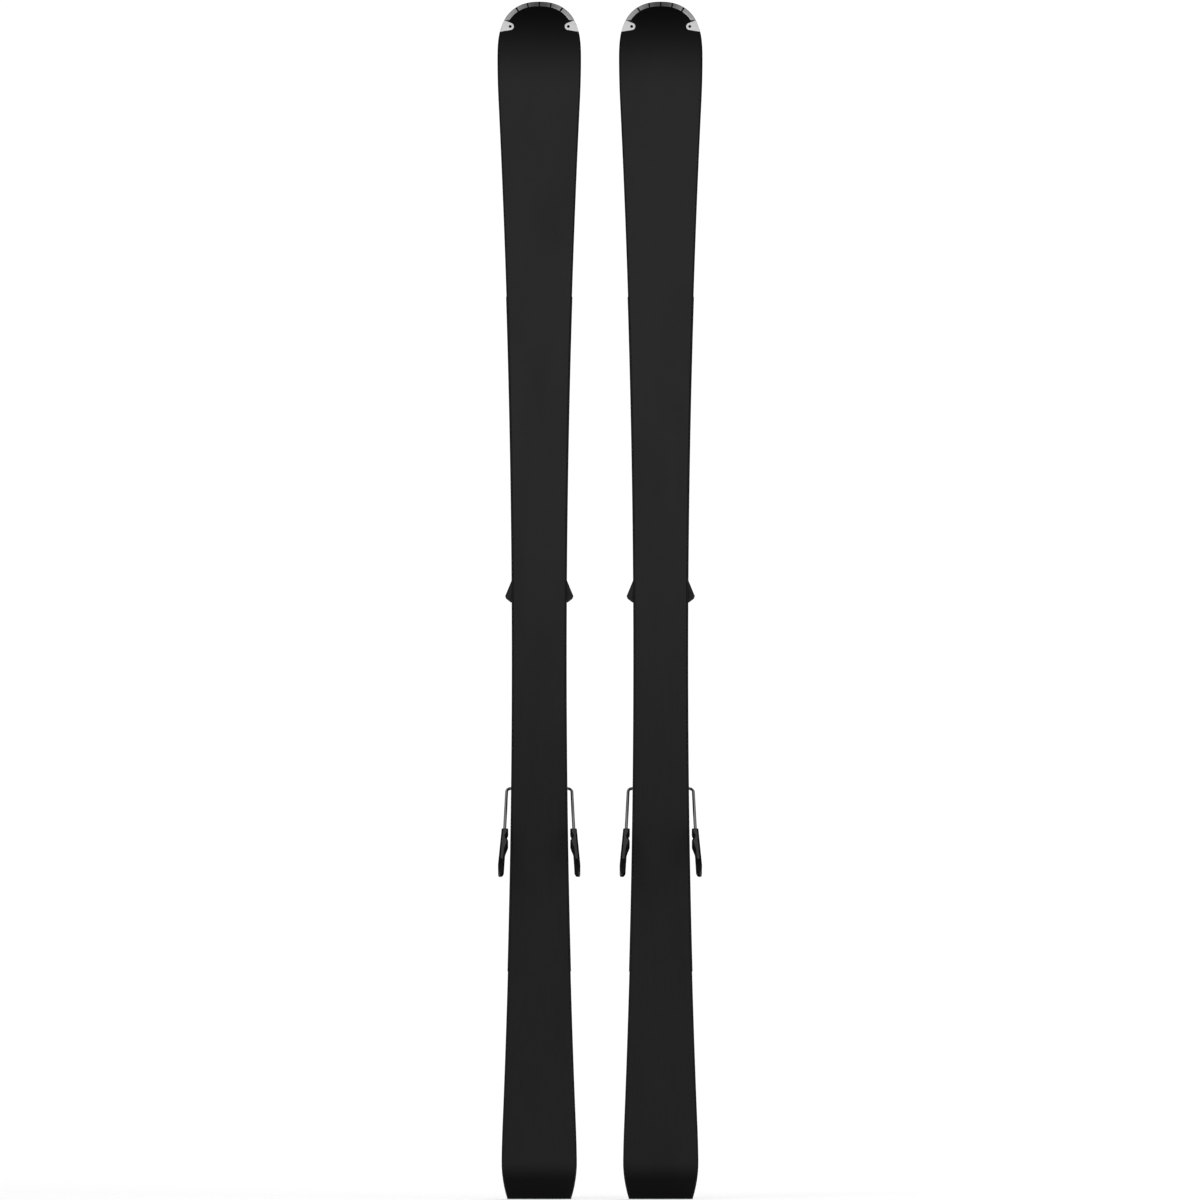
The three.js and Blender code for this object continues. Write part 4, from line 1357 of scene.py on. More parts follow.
    def dress(self, ski: Ski, lug_room: Form, edge_top: float, forms: dict[str, Form]) -> None:
        """Puts the laminate on a ski.

        Args:
            ski: The ski.
            lug_room: What is cut out of the base for a lug.
            edge_top: Height at which the steel edges end.
            forms: Forms already made for the other ski.
        """
        if not forms:
            forms["base"] = self.running_base(lug_room)
            forms["core"] = self.core()
            forms["top"] = self.top_sheet()
            forms["edge"] = self.edge(edge_top)
            forms["wall"] = self.sidewall()
        ski.put(forms["base"], "base_sheet", BASE_BLACK, replaced=["base_sheet"])
        ski.put(forms["core"], "core", CORE_WOOD, replaced=["core"])
        ski.put(forms["top"], "top_sheet", TOP_LACQUER, replaced=["top_sheet"])
        ski.put_pair(forms["edge"], "edge", EDGE_STEEL)
        ski.put_pair(forms["wall"], "sidewall", SIDEWALL_PLASTIC)


@dataclass
class TipGuard:
    """Metal tip guard in six fields on a black backing, with a holed lug at each end."""

    shape: SkiShape
    width: float = 6.5
    span: float = 46.6
    outer_rim: float = 0.45
    inner_rim: float = 0.15
    under_reach: float = 0.2
    dividers: Point = (0.0, 16.7, 32.4, 51.0)
    divider: float = 2.0
    lug_line: float = 0.8
    sunk: float = 0.5
    proud_bevel: float = 0.3
    round_x: float = 40.3
    round_from_tip: float = 34.6
    round_radius: float = 5.0
    hole: float = 2.0
    start_from_tip: float = 26.0
    end_from_tip: float = 42.0
    room: float = 0.3
    field_depth: float = 1.2
    lug_bevel: float = 0.45
    hole_sides: int = 32

    def _strip(self, start: float, end: float, section: Points, steps: int) -> Form:
        """Strip along the tip's outline.

        Args:
            start: Distance from the centre line that it starts at.
            end: Distance that it ends at.
            section: Corners as depth inwards and height.
            steps: Number of steps.

        Returns:
            The form.
        """
        rows = []
        for x in np.linspace(start, end, steps + 1):
            row = []
            for depth, height in section:
                px, pz = self.shape.inset(float(x), depth)
                row.append((px, self.shape.base_line(pz) + height, pz))
            rows.append(row)
        return loft(rows)

    def backing(self) -> Form:
        """Black strip under the fields, with the corners between its ends and the lugs.

        Returns:
            The form.
        """
        top = self.shape.base_thick
        reach = self.width + self.under_reach
        section = [(0.0, self.sunk), (reach, self.sunk), (reach, top), (0.0, top)]
        strip = self._strip(-self.span, self.span, section, 90)
        inner = self.shape.inset(self.span, self.width)
        places = np.linspace(self.span + 0.1, self.round_x + 9.4, 6)
        rim = [self.shape.inset(float(x), 0.15) for x in places]
        corner = [(inner[0] + 0.1, inner[1] - 0.1), *rim, (self.round_x + 4, rim[-1][1])]
        beside_lug = prism(Axis.Y, self._lug_outline(self.room), -3, 9)
        fill = prism(Axis.Y, corner, self.sunk, top).cut(beside_lug)
        fill = self._on_tip(fill)
        return strip.with_more(fill, fill.mirrored())

    def fields(self) -> Form:
        """The six metal fields as separate solids in one mesh.

        Returns:
            The form.
        """
        bevel, deep = self.proud_bevel, self.field_depth
        near, far = self.outer_rim, self.width - self.inner_rim
        beside_lug = self._tall(self.lug_line)
        outside = [(near, bevel), (near + 0.4 * bevel, 0.3 * bevel), (near + bevel, 0.0)]
        inside = [(far - bevel, 0.0), (far - 0.4 * bevel, 0.3 * bevel), (far, bevel)]
        section = [*outside, *inside, (far, deep), (near, deep)]
        forms = []
        for start, end in zip(self.dividers, self.dividers[1:]):
            part = self._strip(start + self.divider / 2, end - self.divider / 2, section, 16)
            if end == self.dividers[-1]:
                part = part.cut(beside_lug)
            forms += [part, part.mirrored()]
        return forms[0].with_more(*forms[1:])

    def _lug_outline(self, gap: float) -> list[Point]:
        """Outline of the lug on the +X half.

        Args:
            gap: How far it is grown.

        Returns:
            The outline.
        """
        low = self.shape.length - self.end_from_tip - gap
        high = self.shape.length - self.start_from_tip + gap
        side = [(self.shape.half_width(z) - 0.3 + gap, z) for z in np.linspace(low, high, 14)]
        return [*side, *arc(self._lug_centre(), self.round_radius + gap, 105, 262, 26)]

    def _tall(self, gap: float) -> Form:
        """Lug grown by a gap, tall enough to cut through the raised tip."""
        return prism(Axis.Y, self._lug_outline(gap), -3, self.shape.tip_rise + 10)

    def _lug_centre(self) -> Point:
        """Centre (x, z) of the lug's round end and its hole."""
        return (self.round_x, self.shape.length - self.round_from_tip)

    def _on_tip(self, form: Form) -> Form:
        """Form raised with the tip's curve."""
        return form.warped(lambda p: (p.x, p.y + self.shape.base_line(p.z), p.z))

    def lug(self) -> Form:
        """Plated lug with its hole, on the +X half.

        Returns:
            The form.
        """
        plate = prism(Axis.Y, self._lug_outline(0), -0.1, self.shape.base_thick)
        holed = plate.cut(rod(Axis.Y, self._lug_centre(), self.hole, -2, 4, self.hole_sides))
        return self._on_tip(holed.bevelled(self.lug_bevel, 4, 40))

    def rivet(self) -> Form:
        """Dark rivet deep in the lug's hole."""
        shank = rod(Axis.Y, self._lug_centre(), self.hole - 0.1, 0.8, self.shape.base_thick, 28)
        return self._on_tip(shank.bevelled(0.3, 2, 40))

    def lug_room(self) -> Form:
        """What the running base leaves free for the lug on the +X half."""
        return self._tall(self.room)

    def edge_top(self) -> float:
        """Height at which the steel edges stop below the lugs."""
        return self.shape.length - self.end_from_tip - 0.6

    def dress(self, ski: Ski, forms: dict[str, Form]) -> None:
        """Puts the guard and its lugs on a ski.

        Args:
            ski: The ski.
            forms: Forms already made for the other ski.
        """
        if not forms:
            forms["backing"] = self.backing()
            forms["fields"] = self.fields()
            forms["lug"] = self.lug()
            forms["rivet"] = self.rivet()
        ski.put(forms["backing"], "tip_guard_backing", GUARD_BLACK, replaced=["tip_guard"])
        ski.put(forms["fields"], "tip_guard_fields", GUARD_METAL, replaced=["tip_guard"])
        ski.put_pair(forms["lug"], "tip_lug", LUG_CHROME)
        ski.put_pair(forms["rivet"], "tip_rivet", GUARD_BLACK, replaces=False)


# ---- Binding -----------------------------------------------------------------------------------
CASTING = {"voxel": 0.5, "passes": 14, "keep": 0.3}


def rings_along_y(rings: Points, sides: int = 28) -> Form:
    """Round body about Y.

    Args:
        rings: Radius and height of each ring.
        sides: Flats round it.

    Returns:
        The form.
    """
    return loft([[(a, y, b) for a, b in arc((0, 0), r, 0, 360, sides)[:-1]] for r, y in rings])


def bars(axis: Axis, centres: Points, radius: float, low: float, high: float) -> Form:
    """Round bars side by side, to be cut away as grooves or laid on as ribs.

    Args:
        axis: Direction of the bars.
        centres: Their places across the axis, in the order of `prism`.
        radius: Their radius.
        low: Where they start.
        high: Where they end.

    Returns:
        All of them as one mesh.
    """
    first, *others = [rod(axis, centre, radius, low, high, 12) for centre in centres]
    return first.with_more(*others)


def turned(angle: float, pivot: Vector) -> Matrix:
    """Turn about a line along X through a pivot.

    Args:
        angle: Degrees, from Y towards Z.
        pivot: Point on the line.

    Returns:
        The matrix from the upright piece, drawn about its pivot, to its place.
    """
    return Matrix.Translation(pivot) @ Matrix.Rotation(math.radians(angle), 4, "X")


@dataclass
class FixingScrew:
    """Countersunk cross-head screw that faces away from the ski."""

    head_radius: float = 4.4
    shank_radius: float = 2.2
    head_depth: float = 2.6
    recess: float = 1.7
    recess_half: float = 0.5
    recess_reach: float = 2.7
    gap: float = 0.25

    def form(self, x: float, top: float, z: float) -> Form:
        """The screw with the rim of its head at a height.

        Args:
            x: Place across the ski.
            top: Height of its head.
            z: Place along the ski.

        Returns:
            The form.
        """
        shank = [(self.shank_radius, -self.head_depth - 1), (self.shank_radius, -self.head_depth)]
        rim = [(self.head_radius, -0.5), (self.head_radius, -0.1), (self.head_radius - 0.3, 0.0)]
        head = rings_along_y([*shank, *rim])
        half, reach = self.recess_half, self.recess_reach
        one = block((-reach, reach), (-self.recess, 1), (-half, half))
        other = block((-half, half), (-self.recess, 1), (-reach, reach))
        return head.cut(one, other).moved(Matrix.Translation((x, top, z)))

    def room(self, x: float, top: float, z: float) -> Form:
        """What a plate leaves free for the screw.

        Args:
            x: Place across the ski.
            top: Height of the screw's head.
            z: Place along the ski.

        Returns:
            The form.
        """
        shank, head = self.shank_radius + self.gap, self.head_radius + self.gap
        foot = [(shank, -self.head_depth - 4), (shank, -self.head_depth)]
        body = rings_along_y([*foot, (head, -0.4), (head, 3.0)])
        return body.moved(Matrix.Translation((x, top, z)))


@dataclass
class Coil:
    """Helical compression spring on a line along its local Z."""

    radius: float = 7.5
    wire: float = 1.2
    steps: int = 26
    sides: int = 12

    def form(self, length: float, turns: int) -> Form:
        """The spring.

        Args:
            length: Its free length.
            turns: Its turns.

        Returns:
            The form.
        """
        line = []
        for i in range(turns * self.steps + 1):
            angle = 2 * math.pi * i / self.steps
            height = length * i / (turns * self.steps)
            line.append((self.radius * math.cos(angle), self.radius * math.sin(angle), height))
        return sweep(line, self.wire, self.sides)


@dataclass
class ReleaseScrew:
    """Slotted adjusting screw with a fluted round head, its face at z = 0."""

    head_radius: float = 6.5
    head_length: float = 7.5
    shank_radius: float = 2.8
    slot: float = 1.6
    slot_depth: float = 2.5
    flutes: int = 12
    flute_depth: float = 0.25
    flute_steps: int = 6

    def form(self, shank: float) -> Form:
        """The screw with a shank towards -Z.

        Args:
            shank: Length of the shank.

        Returns:
            The form.
        """
        neck, head = -self.head_length, self.head_radius
        below = [(self.shank_radius, neck - shank), (self.shank_radius, neck - 0.01)]
        drum = [(head - 0.4, neck), (head, neck + 0.4), (head, -1.0), (head - 0.3, -0.3), (head - 1.0, 0.0)]
        steps = self.flutes * self.flute_steps
        sections = []
        for radius, z in [*below, *drum]:
            depth = self.flute_depth if radius > self.shank_radius else 0
            ring = []
            for i in range(steps):
                angle = 2 * math.pi * i / steps
                out = radius - depth * (1 + math.cos(self.flutes * angle)) / 2
                ring.append((out * math.cos(angle), out * math.sin(angle), z))
            sections.append(ring)
        half, reach = self.slot / 2, head + 1
        return loft(sections).cut(block((-reach, reach), (-half, half), (-self.slot_depth, 1)))


@dataclass
class Plate:
    """Binding plate with its rail and countersunk fixing screws."""

    screw: FixingScrew = field(default_factory=FixingScrew)
    screw_x: float = 25.4
    screw_heights: Sequence[float] = (446.0, 592.0, 622.0, 700.0, 778.0, 797.0)
    flange: float = 3.8
    bevel: float = 0.5

    def dress(self, ski: Ski, forms: dict[str, Form]) -> None:
        """Puts the plate and its screws on a ski.

        Args:
            ski: The ski.
            forms: Forms already made for the other ski.
        """
        if not forms:
            low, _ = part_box(ski.node("binding_plate"))
            top = (low.y - ski.offset.y) / MM + self.flange - 0.3
            spots = [(x, z) for x in (-self.screw_x, self.screw_x) for z in self.screw_heights]
            plate = ski.form_of("binding_plate").flattened().bevelled(self.bevel, 2)
            rooms = [self.screw.room(x, top, z) for x, z in spots]
            forms["plate"] = plate.cut(rooms[0].with_more(*rooms[1:]))
            screws = [self.screw.form(x, top - 0.05, z) for x, z in spots]
            forms["screws"] = screws[0].with_more(*screws[1:])
        ski.put(forms["plate"], "binding_plate", PLATE_BLACK, replaced=["binding_plate"])
        ski.put(forms["screws"], "plate_screws", SCREW_STEEL)


@dataclass
class ToePiece:
    """Toe base, housing with its release scale, wings, glide pad, spring and screw."""

    groove: float = 1.1
    groove_x: float = 16.5
    window: Point = (6.5, 10.0, 1.3)
    window_gap: float = 0.3
    pad_groove: float = 1.0
    pad_groove_places: Point = (-18, -9, 0, 9, 18)
    spring_room: float = 2.4
    spring_turns: int = 4

    def _roof_line(self, low: Vector, high: Vector) -> list[Point]:
        """Line along the housing's roof, from its lip to its front.

        Args:
            low: Lowest corner of the housing's box.
            high: Highest corner of it.

        Returns:
            Its points (z, y).
        """
        lip = [(low.z, high.y - 5.6), (low.z + 22, high.y)]
        return [*lip, (high.z - 36, high.y - 4), (high.z - 5, high.y - 15), (high.z + 3, high.y - 23)]

    def housing(self, ski: Ski) -> tuple[Form, Form]:
        """Housing with two grooves over its roof, and the scale in its window.

        Args:
            ski: The ski that the frame node is taken from.

        Returns:
            The housing and the scale.
        """
        form = ski.form_of("toe_housing")
        low = Vector(np.min([v.co for v in form.mesh.vertices], axis=0))
        high = Vector(np.max([v.co for v in form.mesh.vertices], axis=0))
        roof = self._roof_line(low, high)
        grooves = []
        for x in (-self.groove_x, self.groove_x):
            grooves.append(sweep([(x, y + 0.3, z) for z, y in roof], self.groove, 10))
        (z0, y0), (z1, y1) = roof[2], roof[3]
        slope = math.degrees(math.atan2(y0 - y1, z1 - z0))
        middle = Vector((0, (y0 + y1) / 2, (z0 + z1) / 2))
        wide, long, deep = self.window
        place = turned(slope, middle)
        gap = self.window_gap
        room = block((-wide, wide), (-deep, 6), (-long, long)).moved(place)
        scale = block((-wide + gap, wide - gap), (-deep - 0.2, -0.35), (-long + gap, long - gap))
        housing = form.cut(*grooves, room).moulded(**CASTING)
        return housing, scale.bevelled(0.25, 2).moved(place)

    def glide_pad(self, ski: Ski) -> Form:
        """Glide pad with grooves along the boot.

        Args:
            ski: The ski that the frame node is taken from.

        Returns:
            The form.
        """
        form = ski.form_of("glide_pad").flattened().bevelled(0.6, 3)
        low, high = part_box(ski.node("glide_pad"))
        top = (high.y - ski.offset.y) / MM
        centres = [(x, top + 0.25) for x in self.pad_groove_places]
        return form.cut(bars(Axis.Z, centres, self.pad_groove, low.z / MM - 1, high.z / MM + 1))

    def spring(self, ski: Ski) -> Form:
        """Release spring in its bore.

        Args:
            ski: The ski that the frame node is taken from.

        Returns:
            The form.
        """
        low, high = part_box(ski.node("toe_spring"))
        length = (high.z - low.z) / MM - self.spring_room
        start = Vector((0, ski.centre_of("toe_spring").y, low.z / MM + self.spring_room / 2))
        return Coil().form(length, self.spring_turns).moved(Matrix.Translation(start))

    def release_screw(self, ski: Ski) -> Form:
        """Release screw with its head at the front.

        Args:
            ski: The ski that the frame node is taken from.

        Returns:
            The form.
        """
        low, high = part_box(ski.node("toe_screw"))
        face = Vector((0, ski.centre_of("toe_screw").y, high.z / MM))
        shank = (high.z - low.z) / MM - ReleaseScrew.head_length
        return ReleaseScrew().form(shank).moved(Matrix.Translation(face))

    def dress(self, ski: Ski, forms: dict[str, Form]) -> None:
        """Puts the toe piece on a ski.

        Args:
            ski: The ski.
            forms: Forms already made for the other ski.
        """
        if not forms:
            wing = f"{ski.edge_name(Half.PLUS)}_toe_wing"
            forms["base"] = ski.form_of("toe_base").flattened().bevelled(0.6, 3)
            forms["housing"], forms["scale"] = self.housing(ski)
            forms["wing"] = ski.form_of(wing).flattened().bevelled(0.9, 3)
            forms["pad"] = self.glide_pad(ski)
            forms["spring"] = self.spring(ski)
            forms["screw"] = self.release_screw(ski)
        ski.put(forms["base"], "toe_base", BINDING_BLACK, replaced=["toe_base"])
        ski.put(forms["housing"], "toe_housing", SHELL_BLACK, replaced=["toe_housing"])
        ski.put(forms["scale"], "toe_scale", SCALE_TICKS)
        ski.put(forms["pad"], "glide_pad", GLIDE_PALE, "glide_pad_body", ["glide_pad"])
        ski.put(forms["spring"], "toe_spring", SPRING_STEEL, replaced=["toe_spring"])
        ski.put(forms["screw"], "toe_screw", SCREW_STEEL, "toe_screw_body", ["toe_screw"])
        ski.put_pair(forms["wing"], "toe_wing", JAW_BLACK, "{}_wing_body")


@dataclass
class HeelPiece:
    """Heel carriage, pin, housing, cup, lever, spring and screw, shown open."""

    open_angle: float = 30.0
    lever_angle: float = 38.0
    spring_start: float = -19.0
    spring_end: float = 22.9
    screw_axis: float = 28.0
    screw_face: float = -38.0
    screw_shank: float = 28.0
    roof: float = 46.0
    window: Point = (6.5, 8.0, 1.3)
    window_middle: float = 10.0
    window_gap: float = 0.3
    side_groove: float = 0.9
    side_groove_x: float = 24.4
    side_groove_heights: Point = (27.0, 31.0, 35.0)
    rib: float = 1.2
    rib_half: float = 14.0
    rib_places: Points = ((-38, 7.2), (-43, 6.9), (-48, 6.5), (-53, 6.1), (-58, 5.8), (-63, 5.4))
    pin_radius: float = 3.0
    spring_turns: int = 5

    def housing(self, ski: Ski, head: Matrix) -> tuple[Form, Form]:
        """Housing with a window in its roof, and the scale in it.

        Args:
            ski: The ski that the frame node is taken from.
            head: Place of the heel's upright frame.

        Returns:
            The housing and the scale, in place.
        """
        wide, long, deep = self.window
        gap = self.window_gap
        z0, z1 = self.window_middle - long, self.window_middle + long
        form = ski.form_of("heel_housing", head)
        room = block((-wide, wide), (self.roof - deep, self.roof + 6), (z0, z1))
        sides = []
        for x in (-self.side_groove_x, self.side_groove_x):
            for y in self.side_groove_heights:
                sides.append(rod(Axis.Z, (x, y), self.side_groove, -24, 22, 10))
        y0, y1 = self.roof - deep - 0.2, self.roof - 0.35
        scale = block((-wide + gap, wide - gap), (y0, y1), (z0 + gap, z1 - gap))
        housing = form.cut(room, sides[0].with_more(*sides[1:])).moulded(**CASTING)
        return housing.moved(head), scale.bevelled(0.25, 2).moved(head)

    def lever(self, ski: Ski) -> Form:
        """Lever with raised ribs where a pole or a hand presses.

        Args:
            ski: The ski that the frame node is taken from.

        Returns:
            The form.
        """
        place = turned(self.lever_angle - self.open_angle, ski.joint_at("heel_lever_turn"))
        ribs = bars(Axis.X, self.rib_places, self.rib, -self.rib_half, self.rib_half)
        return ski.form_of("heel_lever", place).with_more(ribs).moulded(0.6, 3).moved(place)

    def dress(self, ski: Ski, forms: dict[str, Form]) -> None:
        """Puts the heel piece on a ski.

        Args:
            ski: The ski.
            forms: Forms already made for the other ski.
        """
        if not forms:
            pin = ski.centre_of("heel_pin")
            pin.x = 0
            head = turned(-self.open_angle, pin)
            forms["carriage"] = ski.form_of("heel_carriage").flattened().bevelled(0.6, 3)
            low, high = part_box(ski.node("heel_pin"))
            half = (high.x - low.x) / 2 / MM
            shaft = rod(Axis.X, (pin.z, pin.y), self.pin_radius, -half, half, 40)
            forms["pin"] = shaft.bevelled(0.4, 3)
            forms["housing"], forms["scale"] = self.housing(ski, head)
            forms["cup"] = ski.form_of("heel_cup", head).moulded(**CASTING).moved(head)
            forms["lever"] = self.lever(ski)
            coil = Coil().form(self.spring_end - self.spring_start, self.spring_turns)
            at_start = Matrix.Translation((0, self.screw_axis, self.spring_start))
            forms["spring"] = coil.moved(head @ at_start)
            face = Matrix.Translation((0, self.screw_axis, self.screw_face))
            about = Matrix.Rotation(math.pi, 4, "Y")
            forms["screw"] = ReleaseScrew().form(self.screw_shank).moved(head @ (face @ about))
        body = "heel_base_body"
        ski.put(forms["carriage"], "heel_carriage", BINDING_BLACK, body, ["heel_carriage"])
        ski.put(forms["pin"], "heel_pin", SCREW_STEEL, body, ["heel_pin"])
        body = "heel_head_body"
        ski.put(forms["housing"], "heel_housing", SHELL_BLACK, body, ["heel_housing"])
        ski.put(forms["scale"], "heel_scale", SCALE_TICKS, body)
        ski.put(forms["cup"], "heel_cup", JAW_BLACK, body, ["heel_cup"])
        ski.put(forms["spring"], "heel_spring", SPRING_STEEL, body, ["heel_spring"])
        ski.put(forms["screw"], "heel_screw", SCREW_STEEL, "heel_screw_body", ["heel_screw"])
        ski.put(forms["lever"], "heel_lever", LEVER_GREY, "heel_lever_body", ["heel_lever"])


@dataclass
class Brake:
    """Brake base, bent wire, pads with their panels, and pedal, shown deployed."""

    open_angle: float = 35.0
    wire: float = 2.25
    bend: float = 6.0
    spread: float = 6.0
    reach: float = 138.0
    crank_half: float = 17.0
    crank_reach: float = 31.0
    panel_sunk: float = 0.5
    panel_rim: float = 1.5
    pad_outside: Points = ((7, -70.8), (12.2, -137), (11.6, -142.5), (10, -145.5), (7, -144.5), (3.9, -138))
    pad_inside: Points = ((3, -120), (2.2, -107.5), (-2.4, -94), (1.6, -84.5), (-2.4, -75), (-1.6, -70.8))
    pad_side: Points = ((-70.8, 7), (-100, 8.5), (-133.5, 11), (-142.5, 9), (-146.5, 4))
    panel_outside: Points = ((7, -72.4, -1), (10.4, -125, -1), (3.4, -125, 1), (2.2, -107.5, 1))
    panel_inside: Points = ((-2.4, -94, 1.4), (1.6, -84.5, 1), (-2.4, -75.8, 1.4), (-1.6, -72.4, 1))
    groove: float = 1.1
    grooves: int = 5
    groove_pitch: float = 4.2

    def _line(self, outer: float) -> list[Point]:
        """Centre line of the wire in the plane of its arms.

        Args:
            outer: Half width between the arms at the axle.

        Returns:
            The line.
        """
        arm = [(outer + self.spread, 0, -self.reach), (outer, 0, 0)]
        half = [*arm, (self.crank_half, 0, 0), (self.crank_half, 0, self.crank_reach)]
        other = [(-x, y, z) for x, y, z in reversed(half)]
        return softened([*half, *other], self.bend, 10, loop=False)

    def _panel_outline(self, outer: float, rim: float) -> list[Point]:
        """Outline of the panel on the +X pad.

        Args:
            outer: Half width between the arms at the axle.
            rim: Width of the pad's rim round it.

        Returns:
            Its points (x, z).
        """
        points = (*self.panel_outside, *self.panel_inside)
        return softened([(outer + x + share * rim, z) for x, z, share in points], 1.6, 4)

    def _blade(self, outer: float, less: float) -> Form:
        """Side profile of the pad raised across it.

        Args:
            outer: Half width between the arms at the axle.
            less: How much thinner it is on each face.

        Returns:
            The form.
        """
        half = self.pad_side
        profile = [(z, y - less) for z, y in half] + [(z, less - y) for z, y in reversed(half)]
        return prism(Axis.X, softened(profile, 3.0, 5), outer - 12, outer + 22)

    def pad(self, place: Matrix, outer: float) -> tuple[Form, Form]:
        """Pad with a sunk field on both faces, and the panels in them.

        Args:
            place: Place of the brake's upright frame.
            outer: Half width between the arms at the axle.

        Returns:
            The pad and its panels, in place, on the +X half.
        """
        outline = [(outer + x, z) for x, z in (*self.pad_outside, *self.pad_inside)]
        body = prism(Axis.Y, softened(outline, 2.2, 5), -16, 16).within(self._blade(outer, 0))
        sunk_blade = self._blade(outer, self.panel_sunk)
        room = prism(Axis.Y, self._panel_outline(outer, self.panel_rim), -20, 20).cut(sunk_blade)
        pad = body.cut(room).moulded(0.35, 2, 0.4)
        inside = prism(Axis.Y, self._panel_outline(outer, self.panel_rim + 0.25), -20, 20)
        panels = inside.within(self._blade(outer, 0.15)).cut(self._blade(outer, self.panel_sunk + 0.3))
        return pad.moved(place), panels.bevelled(0.15, 2).moved(place)

    def base(self, ski: Ski) -> Form:
        """Brake base with soft edges."""
        return ski.form_of("brake_base").flattened().bevelled(0.6, 3)

    def pedal(self, ski: Ski, place: Matrix) -> Form:
        """Pedal with grooves across it.

        Args:
            ski: The ski that the frame node is taken from.
            place: Place of the brake's upright frame.

        Returns:
            The form.
        """
        form = ski.form_of("brake_pedal", place).flattened()
        top = max(vertex.co.y for vertex in form.mesh.vertices)
        low = min(vertex.co.z for vertex in form.mesh.vertices)
        centres = [(low + 5 + self.groove_pitch * i, top + 0.35) for i in range(self.grooves)]
        grooves = bars(Axis.X, centres, self.groove, -30, 30)
        return form.bevelled(0.7, 3).cut(grooves).moved(place)

    def dress(self, ski: Ski, forms: dict[str, Form]) -> None:
        """Puts the brake on a ski.

        Args:
            ski: The ski.
            forms: Forms already made for the other ski.
        """
        if not forms:
            place = turned(-self.open_angle, ski.joint_at("brake_swing"))
            low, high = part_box(ski.node("brake_wire"))
            outer = (high.x - low.x) / 2 / MM - self.spread - self.wire
            forms["base"] = self.base(ski)
            forms["wire"] = sweep(self._line(outer), self.wire, 24).bevelled(0.5, 3, 60).moved(place)
            forms["pad"], forms["panels"] = self.pad(place, outer)
            forms["pedal"] = self.pedal(ski, place)
        body = "heel_base_body"
        ski.put(forms["base"], "brake_base", BINDING_BLACK, body, ["brake_base"])
        body = "brake_body"
        ski.put(forms["wire"], "brake_wire", BRAKE_WIRE_STEEL, body, ["brake_wire"])
        ski.put(forms["pedal"], "brake_pedal", PEDAL_BLACK, body, ["brake_pedal"])
        ski.put_pair(forms["pad"], "brake_pad", BRAKE_RUBBER, body)
        ski.put_pair(forms["panels"], "brake_panels", BRAKE_PANEL, body, replaces=False)


# ---- Studio ------------------------------------------------------------------------------------
@dataclass(frozen=True)
class SoftLight:
    """Soft square light."""

    name: str
    place: Point
    aim: Point
    size: float
    power: float

    def build(self) -> None:
        """Makes the light, in metres and watts."""
        lamp = bpy.data.lights.new(self.name, "AREA")
        lamp.size = self.size
        lamp.energy = self.power
        holder = bpy.data.objects.new(self.name, lamp)
        holder.location = self.place
        towards = Vector(self.aim) - Vector(self.place)
        holder.rotation_euler = towards.to_track_quat("-Z", "Y").to_euler()
        bpy.context.scene.collection.objects.link(holder)


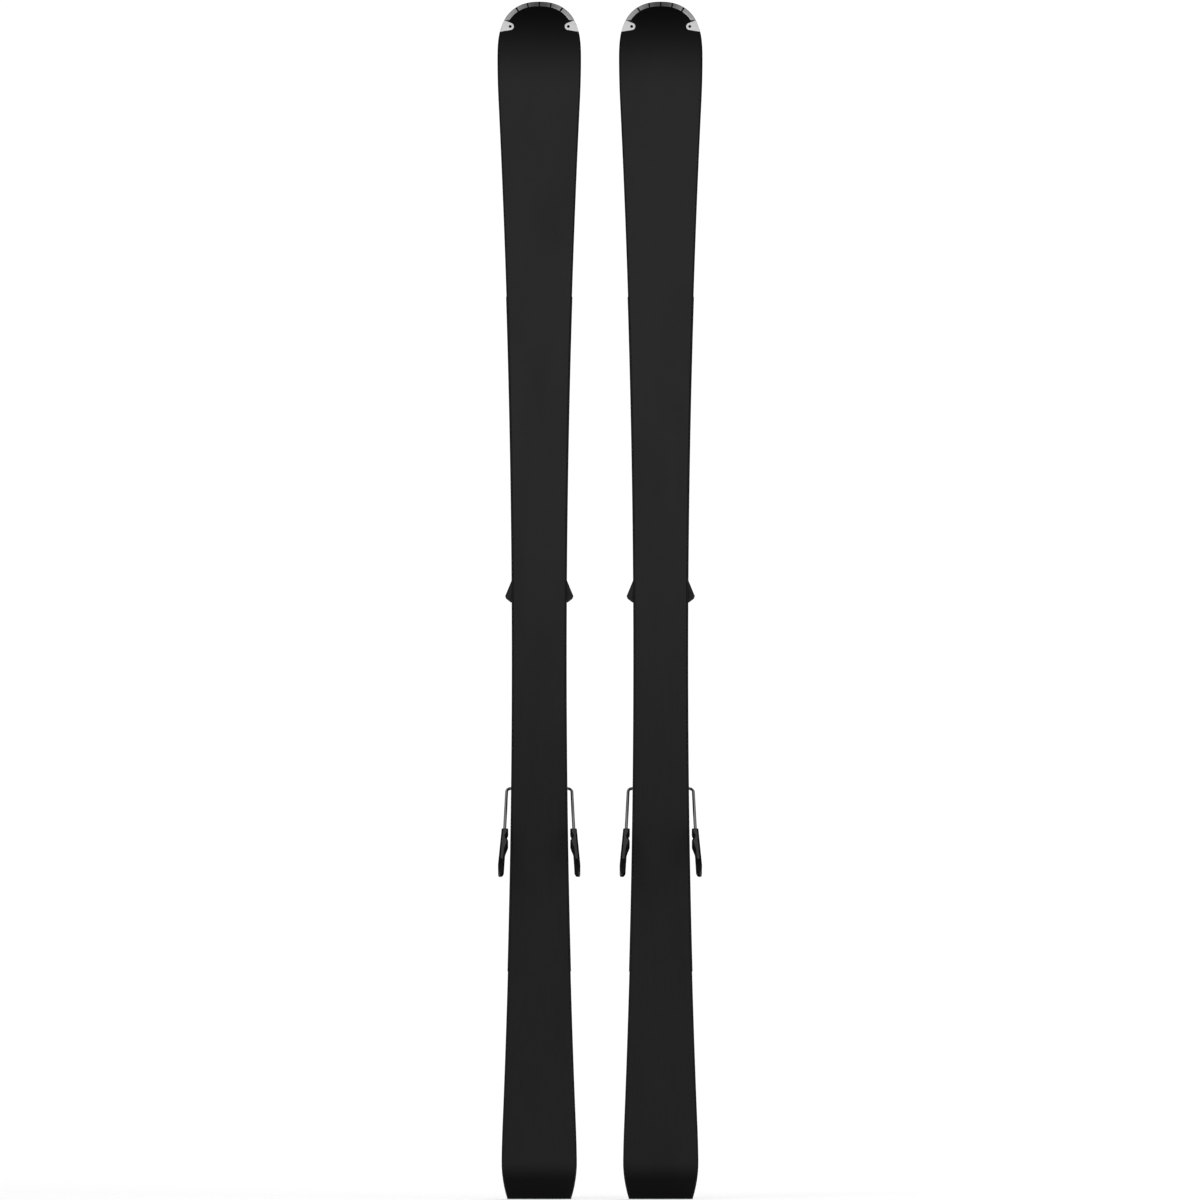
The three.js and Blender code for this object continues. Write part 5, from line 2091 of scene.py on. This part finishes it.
@dataclass
class Studio:
    """Plain pale floor, soft light from all round and the camera."""

    lens: float = 1200.0
    sensor: float = 36.0
    view_height: float = 1.6628
    view_middle: float = 0.8302
    floor_size: float = 6.0
    dim_behind: float = 0.5
    dim_above: float = 0.35
    dim_beside: float = 0.15
    world_strength: float = 1.05
    floor_glow: float = 0.42
    far_clip: float = 200.0
    lights: Sequence[SoftLight] = (
        SoftLight("key", (-2.6, -4.2, 3.4), (0, 0, 0.9), 3.0, 60),
        SoftLight("fill", (3.4, -3.2, 1.6), (0, 0, 0.8), 2.6, 28),
        SoftLight("rim", (1.6, 4.0, 3.0), (0, 0, 0.8), 2.5, 60),
    )

    def floor(self) -> None:
        """Makes the floor."""
        half = self.floor_size / 2
        mesh = bpy.data.meshes.new("floor")
        corners = [(-half, -half, 0), (half, -half, 0), (half, half, 0), (-half, half, 0)]
        mesh.from_pydata(corners, [], [(0, 1, 2, 3)])
        shader = Shader("pale_floor")
        speckle = shader.noise(40, detail=3)
        colour = shader.mix(speckle * 0.3, (0.93, 0.93, 0.93), (0.9, 0.9, 0.9))
        glow = {"Emission_Color": (1.0, 1.0, 1.0), "Emission_Strength": self.floor_glow}
        shader.dress(Base_Color=colour, Roughness=0.9, **glow)
        mesh.materials.append(shader.material)
        floor = bpy.data.objects.new("floor", mesh)
        bpy.context.scene.collection.objects.link(floor)

    def world(self) -> None:
        """White surroundings, dimmer overhead, behind the camera and in a strip at each side."""
        world = bpy.data.worlds.new("studio")
        world.use_nodes = True
        bpy.context.scene.world = world
        net = Net(world.node_tree, "Generated")
        ahead = self.dim_behind + (1 - self.dim_behind) * net.y.rise(-0.9, 0.1)
        above = 1 - (1 - self.dim_above) * net.z.rise(0.1, 0.95)
        beside = abs(net.x)
        strip = 1 - (1 - self.dim_beside) * beside.rise(0.55, 0.75) * (1 - beside.rise(0.95, 1.0))
        seen = net.node("ShaderNodeLightPath", output="Is Camera Ray")
        level = net.node("ShaderNodeMath", {"operation": "MAXIMUM"}, {0: ahead * above * strip, 1: seen})
        back = net.tree.nodes["Background"].inputs
        net.feed(back["Color"], level)
        net.feed(back["Strength"], self.world_strength)

    def camera(self) -> None:
        """Camera square onto the running bases."""
        half_angle = math.atan(self.sensor / 2 / self.lens)
        distance = self.view_height / 2 / math.tan(half_angle)
        data = bpy.data.cameras.new("camera")
        data.lens = self.lens
        data.sensor_width = self.sensor
        data.clip_end = self.far_clip
        holder = bpy.data.objects.new("camera", data)
        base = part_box("left_base_sheet")[0].y
        holder.location = (0, base - distance, self.view_middle)
        holder.rotation_euler = (math.pi / 2, 0, 0)
        bpy.context.scene.collection.objects.link(holder)
        bpy.context.scene.camera = holder

    def build(self) -> None:
        """Makes everything round the skis."""
        bpy.context.scene.view_settings.view_transform = "Standard"
        self.floor()
        self.world()
        for light in self.lights:
            light.build()
        self.camera()


def main() -> None:
    """Builds the studio and both skis."""
    logging.basicConfig(level=logging.INFO, format="%(message)s")
    Studio().build()
    shape = SkiShape()
    guard = TipGuard(shape)
    laminate = Laminate(shape)
    lug_room = guard.lug_room()
    groups = ("laminate", "guard", "plate", "toe", "heel", "brake")
    shared: dict[str, dict[str, Form]] = {group: {} for group in groups}
    for side in Side:
        ski = Ski(side)
        laminate.dress(ski, lug_room, guard.edge_top(), shared["laminate"])
        guard.dress(ski, shared["guard"])
        Plate().dress(ski, shared["plate"])
        ToePiece().dress(ski, shared["toe"])
        HeelPiece().dress(ski, shared["heel"])
        Brake().dress(ski, shared["brake"])


if __name__ == "__main__":
    main()
